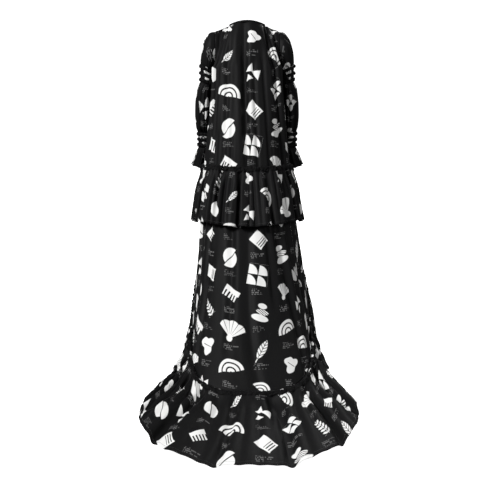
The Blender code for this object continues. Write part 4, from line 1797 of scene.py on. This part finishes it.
class RuchingTree(FormTree):
    """Puckers a smooth trim into uneven tucks that run across it."""

    def __init__(self) -> None:
        """Builds the tree: two noises along the trim push its proud side in and out."""
        sizes = {"Tuck Pitch": 0.0075, "Tuck Depth": 0.0030, "Edge Wander": 0.0016, "Seed": 1.0}
        super().__init__("Ruching", sizes)
        t = self.nodes
        pitch, depth, wander, seed = (Value(t, self.start[key]) for key in sizes)
        along, across, proud = (Value(t, t.attribute(name)) for name in ("along", "across", "proud"))
        way = t.vector(along / pitch, across * 0.55, seed)
        ridge = abs(t.noise(way, 1.0, 1.5).line(4.4, -2.2))
        push = (t.least(ridge, 1.0) * 1.6 - 1.0) * proud * depth
        swing = t.noise(way, 0.45).line(4.0, -2.0) * wander
        out = t.scaled(t.node("GeometryNodeInputNormal", {}).outputs[0], push)
        aside = t.scaled(t.attribute("down", "FLOAT_VECTOR"), swing)
        both = t.node("ShaderNodeVectorMath", {0: out, 1: aside}, operation="ADD")
        inputs = {"Geometry": self.start["Geometry"], "Offset": both.outputs[0]}
        self.finish(t.node("GeometryNodeSetPosition", inputs).outputs[0])


class StitchTree(FormTree):
    """Lays even stitches along a line of points."""

    def __init__(self) -> None:
        """Builds the tree: the line is stepped off and a short thread is set at each step."""
        super().__init__("Stitching", {"Pitch": 0.0042, "Stitch": 0.0029, "Thread": 0.00034})
        t, start = self.nodes, self.start
        line = t.node("GeometryNodeMeshToCurve", {"Mesh": start["Geometry"]})
        along = {"Curve": line.outputs[0], "Length": start["Pitch"]}
        steps = t.node("GeometryNodeCurveToPoints", along, mode="LENGTH")
        sizes = {"Vertices": 5, "Radius": start["Thread"], "Depth": start["Stitch"]}
        thread = t.node("GeometryNodeMeshCylinder", sizes, fill_type="NGON").outputs["Mesh"]
        places = {"Points": steps.outputs["Points"], "Instance": thread, "Rotation": steps.outputs["Rotation"]}
        self.finish(t.node("GeometryNodeInstanceOnPoints", places).outputs[0])


@dataclass
class Trim:
    """A ruched band that lies on cloth along one of its rows."""

    node: str
    middle: Array
    normal: Array
    down: Array
    height: float = 0.018
    thick: float = 0.0062
    clearance: float = 0.0009
    seed: float = 1.0
    pitch: float = 0.0075
    tuck: float = 0.0030
    wander: float = 0.0016
    smooth: float = 0.72
    profile: int = 11
    finer: int = 2

    def denser(self, values: Array) -> Array:
        """The values with more steps round the ring.

        Args:
            values: a vector for each step of the ring.

        Returns:
            More vectors, evenly between them.
        """
        count = len(values)
        place = np.arange(count * self.finer) / self.finer
        low = place.astype(int)
        part = (place - low)[:, None]
        loop = np.vstack([values, values[:1]])
        return loop[low] * (1 - part) + loop[low + 1] * part

    def mesh(self) -> bpy.types.Mesh:
        """The smooth trim: a closed tube with a round outside and a flat back, and its own coordinates.

        Returns:
            The mesh.
        """
        middle, normal, down = self.denser(self.middle), self.denser(self.normal), self.denser(self.down)
        normal /= np.linalg.norm(normal, axis=1, keepdims=True)
        down /= np.linalg.norm(down, axis=1, keepdims=True)
        count = len(middle)
        step = np.linalg.norm(np.diff(middle, axis=0, append=middle[:1]), axis=1)
        along = np.r_[0.0, np.cumsum(step)[:-1]]
        rings, marks = [], []
        for angle in np.linspace(-math.pi / 2, math.pi / 2, self.profile):
            across, proud = math.sin(angle), max(math.cos(angle), 0.0) ** 0.7
            rise = self.clearance + self.thick * self.smooth * proud
            rings.append(middle + down * (self.height / 2 * across) + normal * rise)
            marks.append((across, proud))
        made = tube_mesh(self.node, rings)
        for name, values in (
            ("along", np.tile(along, self.profile)),
            ("across", np.repeat([mark[0] for mark in marks], count)),
            ("proud", np.repeat([mark[1] for mark in marks], count)),
        ):
            layer = made.attributes.new(name, "FLOAT", "POINT")
            layer.data.foreach_set("value", values.astype(np.float32))
        layer = made.attributes.new("down", "FLOAT_VECTOR", "POINT")
        layer.data.foreach_set("vector", np.tile(down, (self.profile, 1)).astype(np.float32).ravel())
        return made

    def dress(self, tree: RuchingTree, finish: bpy.types.Material) -> bpy.types.Object:
        """Builds and places the trim in place of its solid.

        Args:
            tree: the ruching.
            finish: the trim's material.

        Returns:
            The piece.
        """
        sizes = {"Tuck Pitch": self.pitch, "Tuck Depth": self.tuck, "Edge Wander": self.wander}
        sizes["Seed"] = self.seed
        piece = tree.grow(f"{self.node}_trim", self.mesh(), sizes, finish)
        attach(piece, BODY)
        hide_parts(self.node)
        log.info("%s: %d faces", piece.name, len(piece.data.polygons))
        return piece


def trim_on(node: str, drape: Drape, row: float, **sizes: float) -> Trim:
    """A trim that lies on a drape along one of its rows.

    Args:
        node: the solid that the trim stands for.
        drape: the cloth under it.
        row: where the trim's middle is among the rows.
        sizes: the trim's own sizes.

    Returns:
        The trim.
    """
    low = int(row)
    part = row - low
    points, normal = drape.points, drape.outward()
    middle = points[low] * (1 - part) + points[low + 1] * part
    facing = normal[low] * (1 - part) + normal[low + 1] * part
    above, below = points[max(low - 2, 0)], points[min(low + 3, len(points) - 1)]
    down = below - above
    down /= np.linalg.norm(down, axis=1, keepdims=True)
    return Trim(node, middle, smooth_round(facing), smooth_round(down), **sizes)


def smooth_round(values: Array, reach: int = 4) -> Array:
    """Evens values out round a ring, so that a trim doesn't kink over each gather.

    Args:
        values: a vector for each step of the ring.
        reach: how many neighbours count on each side.

    Returns:
        The evened vectors.
    """
    result = values.copy()
    for shift in range(1, reach + 1):
        result += np.roll(values, shift, axis=0) + np.roll(values, -shift, axis=0)
    return result / (2 * reach + 1)


@dataclass
class NeckBinding:
    """A narrow bound edge round the neck opening."""

    bodice: Bodice
    steps: int = 220
    profile: int = 12
    lift: float = -0.0045
    height: float = 0.0120
    thick: float = 0.0046
    clearance: float = 0.0007
    corner: float = 0.6

    def edge(self) -> Array:
        """The neck edge once round, from the right shoulder by the front.

        Returns:
            A point for each step.
        """
        points = []
        for angle in np.arange(self.steps) / self.steps * 2 * math.pi:
            quarter = math.asin(min(1.0, abs(math.sin(angle))))
            x, y, z = self.bodice.neck_edge(quarter, math.sin(angle) > 0)
            points.append((math.copysign(x, math.cos(angle)), y, z + self.lift))
        return np.array(points)

    def squared(self, value: float) -> float:
        """A sine or cosine, pulled out towards the corners of the section."""
        return abs(value) ** self.corner * math.copysign(1.0, value)

    def dress(self, finish: bpy.types.Material) -> None:
        """Builds the binding, rounded over its edge, and places it.

        Args:
            finish: its material.
        """
        edge = self.edge()
        out = edge * np.array([1.0, 1.0, 0.0])
        out /= np.linalg.norm(out, axis=1, keepdims=True)
        rings = []
        for angle in np.linspace(0.0, 2 * math.pi, self.profile + 1)[:-1]:
            across = self.thick / 2 * self.squared(math.cos(angle)) + self.clearance
            up = self.height / 2 * (1 + self.squared(math.sin(angle)))
            rings.append(edge + out * across + np.array([0.0, 0.0, up]))
        mesh = tube_mesh("neck_binding_edge", rings)
        mesh.shade_smooth()
        mesh.materials.append(finish)
        piece = add_object("neck_binding_edge", mesh)
        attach(piece, BODY)
        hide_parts("neck_binding")
        log.info("%s: %d faces", piece.name, len(mesh.polygons))


@dataclass(frozen=True)
class Topstitch:
    """A line of stitches along a row of a drape."""

    name: str
    drape: Drape
    row: int
    proud: float = 0.0015

    def dress(self, tree: StitchTree, finish: bpy.types.Material) -> bpy.types.Object:
        """Builds and places the stitches.

        Args:
            tree: the stitching.
            finish: the thread.

        Returns:
            The piece.
        """
        points = (self.drape.points + self.drape.outward() * self.proud)[self.row]
        count = len(points)
        last = count if self.drape.closed else count - 1
        mesh = bpy.data.meshes.new(self.name)
        mesh.from_pydata(points.tolist(), [(i, (i + 1) % count) for i in range(last)], [])
        piece = tree.grow(self.name, mesh, {}, finish)
        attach(piece, BODY)
        log.info("%s: %d faces", piece.name, len(piece.data.polygons))
        return piece


class Lamp(NamedTuple):
    """A soft square light: where it stands, what it faces, its side in metres and its power in watts."""

    name: str
    place: Place
    aim: Place
    size: float
    power: float


LAMPS = (
    Lamp("key", (-3.3, -2.9, 2.6), (0.0, -0.4, -0.7), 1.2, 330.0),
    Lamp("fill", (3.2, -2.6, 1.2), (0.0, -0.4, -0.8), 1.6, 48.0),
    Lamp("front", (1.8, 3.4, 2.4), (0.0, 0.0, -0.6), 1.6, 130.0),
)


@dataclass(frozen=True)
class Studio:
    """A white floor, soft light from all sides, and a camera behind the wearer."""

    camera: Place = (-0.006, -3.0, -0.12)
    pitch: float = 18.175
    lens: float = 43.9
    sky: float = 0.13
    floor_white: float = 0.92
    floor_glow: float = 1.1
    floor_reach: float = 9.0
    floor_turn: float = 4.0
    wall_top: float = 30.0
    sides: int = 64

    def set_camera(self) -> None:
        """Places the camera at the photograph's distance and height."""
        data = bpy.data.cameras.new("camera")
        data.lens = self.lens
        data.sensor_width = 36.0
        data.clip_end = 200.0
        thing = add_object("camera", data)
        thing.location = self.camera
        thing.rotation_euler = (math.radians(90.0 - self.pitch), 0.0, 0.0)
        bpy.context.scene.camera = thing

    def floor_mesh(self) -> bpy.types.Mesh:
        """A wide disc at the hem's level, which curves up to a far wall all round.

        Returns:
            The mesh.
        """
        reach, turn, sides = self.floor_reach, self.floor_turn, self.sides
        curve = [math.pi / 2 * step / 12 for step in range(13)]
        line = [(reach + turn * math.sin(a), FLOOR + turn * (1 - math.cos(a))) for a in curve]
        points = [(0.0, 0.0, FLOOR)]
        for radius, z in [*line, (reach + turn, self.wall_top)]:
            for side in range(sides):
                angle = 2 * math.pi * side / sides
                points.append((radius * math.cos(angle), radius * math.sin(angle), z))
        faces = [(0, 1 + side, 1 + (side + 1) % sides) for side in range(sides)]
        for low in range(1, len(points) - sides, sides):
            for side in range(sides):
                after = (side + 1) % sides
                faces.append((low + side, low + sides + side, low + sides + after, low + after))
        mesh = bpy.data.meshes.new("floor")
        mesh.from_pydata(points, [], faces)
        mesh.shade_smooth()
        return mesh

    def set_floor(self) -> None:
        """Lays the floor. It glows a little, and neither shades nor lights the dress."""
        mesh = self.floor_mesh()
        paper = bpy.data.materials.new("floor_paper")
        paper.use_nodes = True
        shader = paper.node_tree.nodes["Principled BSDF"]
        for key, value in (
            ("Base Color", (*(self.floor_white,) * 3, 1.0)),
            ("Roughness", 0.9),
            ("Specular IOR Level", 0.0),
            ("Emission Color", (1.0, 1.0, 1.0, 1.0)),
            ("Emission Strength", self.floor_glow),
        ):
            shader.inputs[key].default_value = value
        mesh.materials.append(paper)
        thing = add_object("floor", mesh)
        thing.visible_diffuse = thing.visible_glossy = thing.visible_shadow = False

    def set_light(self) -> None:
        """An even white sky, and three large soft lights."""
        world = bpy.data.worlds.new("studio")
        bpy.context.scene.world = world
        world.use_nodes = True
        back = world.node_tree.nodes["Background"]
        back.inputs["Color"].default_value = (1.0, 1.0, 1.0, 1.0)
        back.inputs["Strength"].default_value = self.sky
        bpy.context.scene.view_settings.view_transform = "Standard"
        for lamp in LAMPS:
            data = bpy.data.lights.new(lamp.name, "AREA")
            data.size = lamp.size
            data.energy = lamp.power
            thing = add_object(lamp.name, data)
            thing.location = lamp.place
            way = np.array(lamp.aim) - np.array(lamp.place)
            flat = math.hypot(way[0], way[1])
            thing.rotation_euler = (math.atan2(flat, -way[2]), 0.0, math.atan2(way[1], way[0]) - math.pi / 2)

    def set(self) -> None:
        """Sets the whole studio."""
        self.set_camera()
        self.set_floor()
        self.set_light()


@dataclass
class Wardrobe:
    """The finishes and forms that the pieces share, and the order in which the pieces are made."""

    printed: bpy.types.Material
    ruched: bpy.types.Material
    thread: bpy.types.Material
    ruching: RuchingTree
    stitching: StitchTree

    def header(self, node: str, drape: Drape, row: float, height: float, thick: float, seed: float) -> None:
        """Makes the deep ruched trim over the gathers of the peplum or the flounce.

        Args:
            node: the solid that it stands for.
            drape: the gathered cloth.
            row: where the trim's middle is among its rows.
            height: the trim's height.
            thick: how far it stands out.
            seed: picks its tucks.
        """
        sizes = {"height": height, "thick": thick, "seed": seed}
        trim = trim_on(node, drape, row, **sizes, pitch=0.0120, tuck=0.0052, wander=0.0042)
        trim.dress(self.ruching, self.ruched)

    def stitch(self, name: str, drape: Drape, above: int) -> None:
        """Makes the topstitching of a hem, some rows above its edge."""
        Topstitch(name, drape, len(drape.points) - above).dress(self.stitching, self.thread)

    def dress_body(self, bodice: Bodice) -> None:
        """Makes the bodice, the skirt, the peplum and the flounce with their trims.

        Args:
            bodice: the bodice.
        """
        bodice.dress(self.printed)
        NeckBinding(bodice).dress(self.ruched)
        Skirt().dress(self.printed)
        over_hip = Peplum().dress(self.printed)
        self.header("hip_ruching", over_hip, 3.2, 0.025, 0.0095, 2.0)
        self.stitch("peplum_hem_stitches", over_hip, 3)
        over_floor = Flounce().dress(self.printed)
        self.header("flounce_ruching", over_floor, 3.6, 0.022, 0.0085, 5.0)
        self.stitch("flounce_hem_stitches", over_floor, 3)

    def dress_arm(self, sleeve: Sleeve) -> None:
        """Makes one sleeve with its bands and its cuff.

        Args:
            sleeve: the sleeve.
        """
        arm = sleeve.dress(self.printed)
        for number, middle in enumerate(sleeve.rings()[1]):
            part = "arm" if number < len(UPPER_BANDS) else "wrist"
            node = f"{part}_band_{number % len(UPPER_BANDS) + 1}_{sleeve.word}"
            seed = 10.0 + number + sleeve.side
            band = trim_on(node, arm, middle * sleeve.finer, height=0.0175, thick=0.0125, seed=seed)
            band.dress(self.ruching, self.ruched)
        hand = Cuff(sleeve).dress(self.printed)
        self.stitch(f"cuff_{sleeve.word}_hem_stitches", hand, 2)


def main() -> None:
    """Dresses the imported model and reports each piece."""
    logging.basicConfig(level=logging.INFO, format="%(name)s: %(message)s")
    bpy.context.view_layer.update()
    Studio().set()
    printed = PrintedCloth().make("printed cloth")
    ruched = RuchedCloth().make("ruched cloth")
    thread = Thread().make("sewing thread")
    wardrobe = Wardrobe(printed, ruched, thread, RuchingTree(), StitchTree())
    bodice = Bodice()
    wardrobe.dress_body(bodice)
    for side in (1, -1):
        wardrobe.dress_arm(Sleeve(side, bodice))


if __name__ == "__main__":
    main()
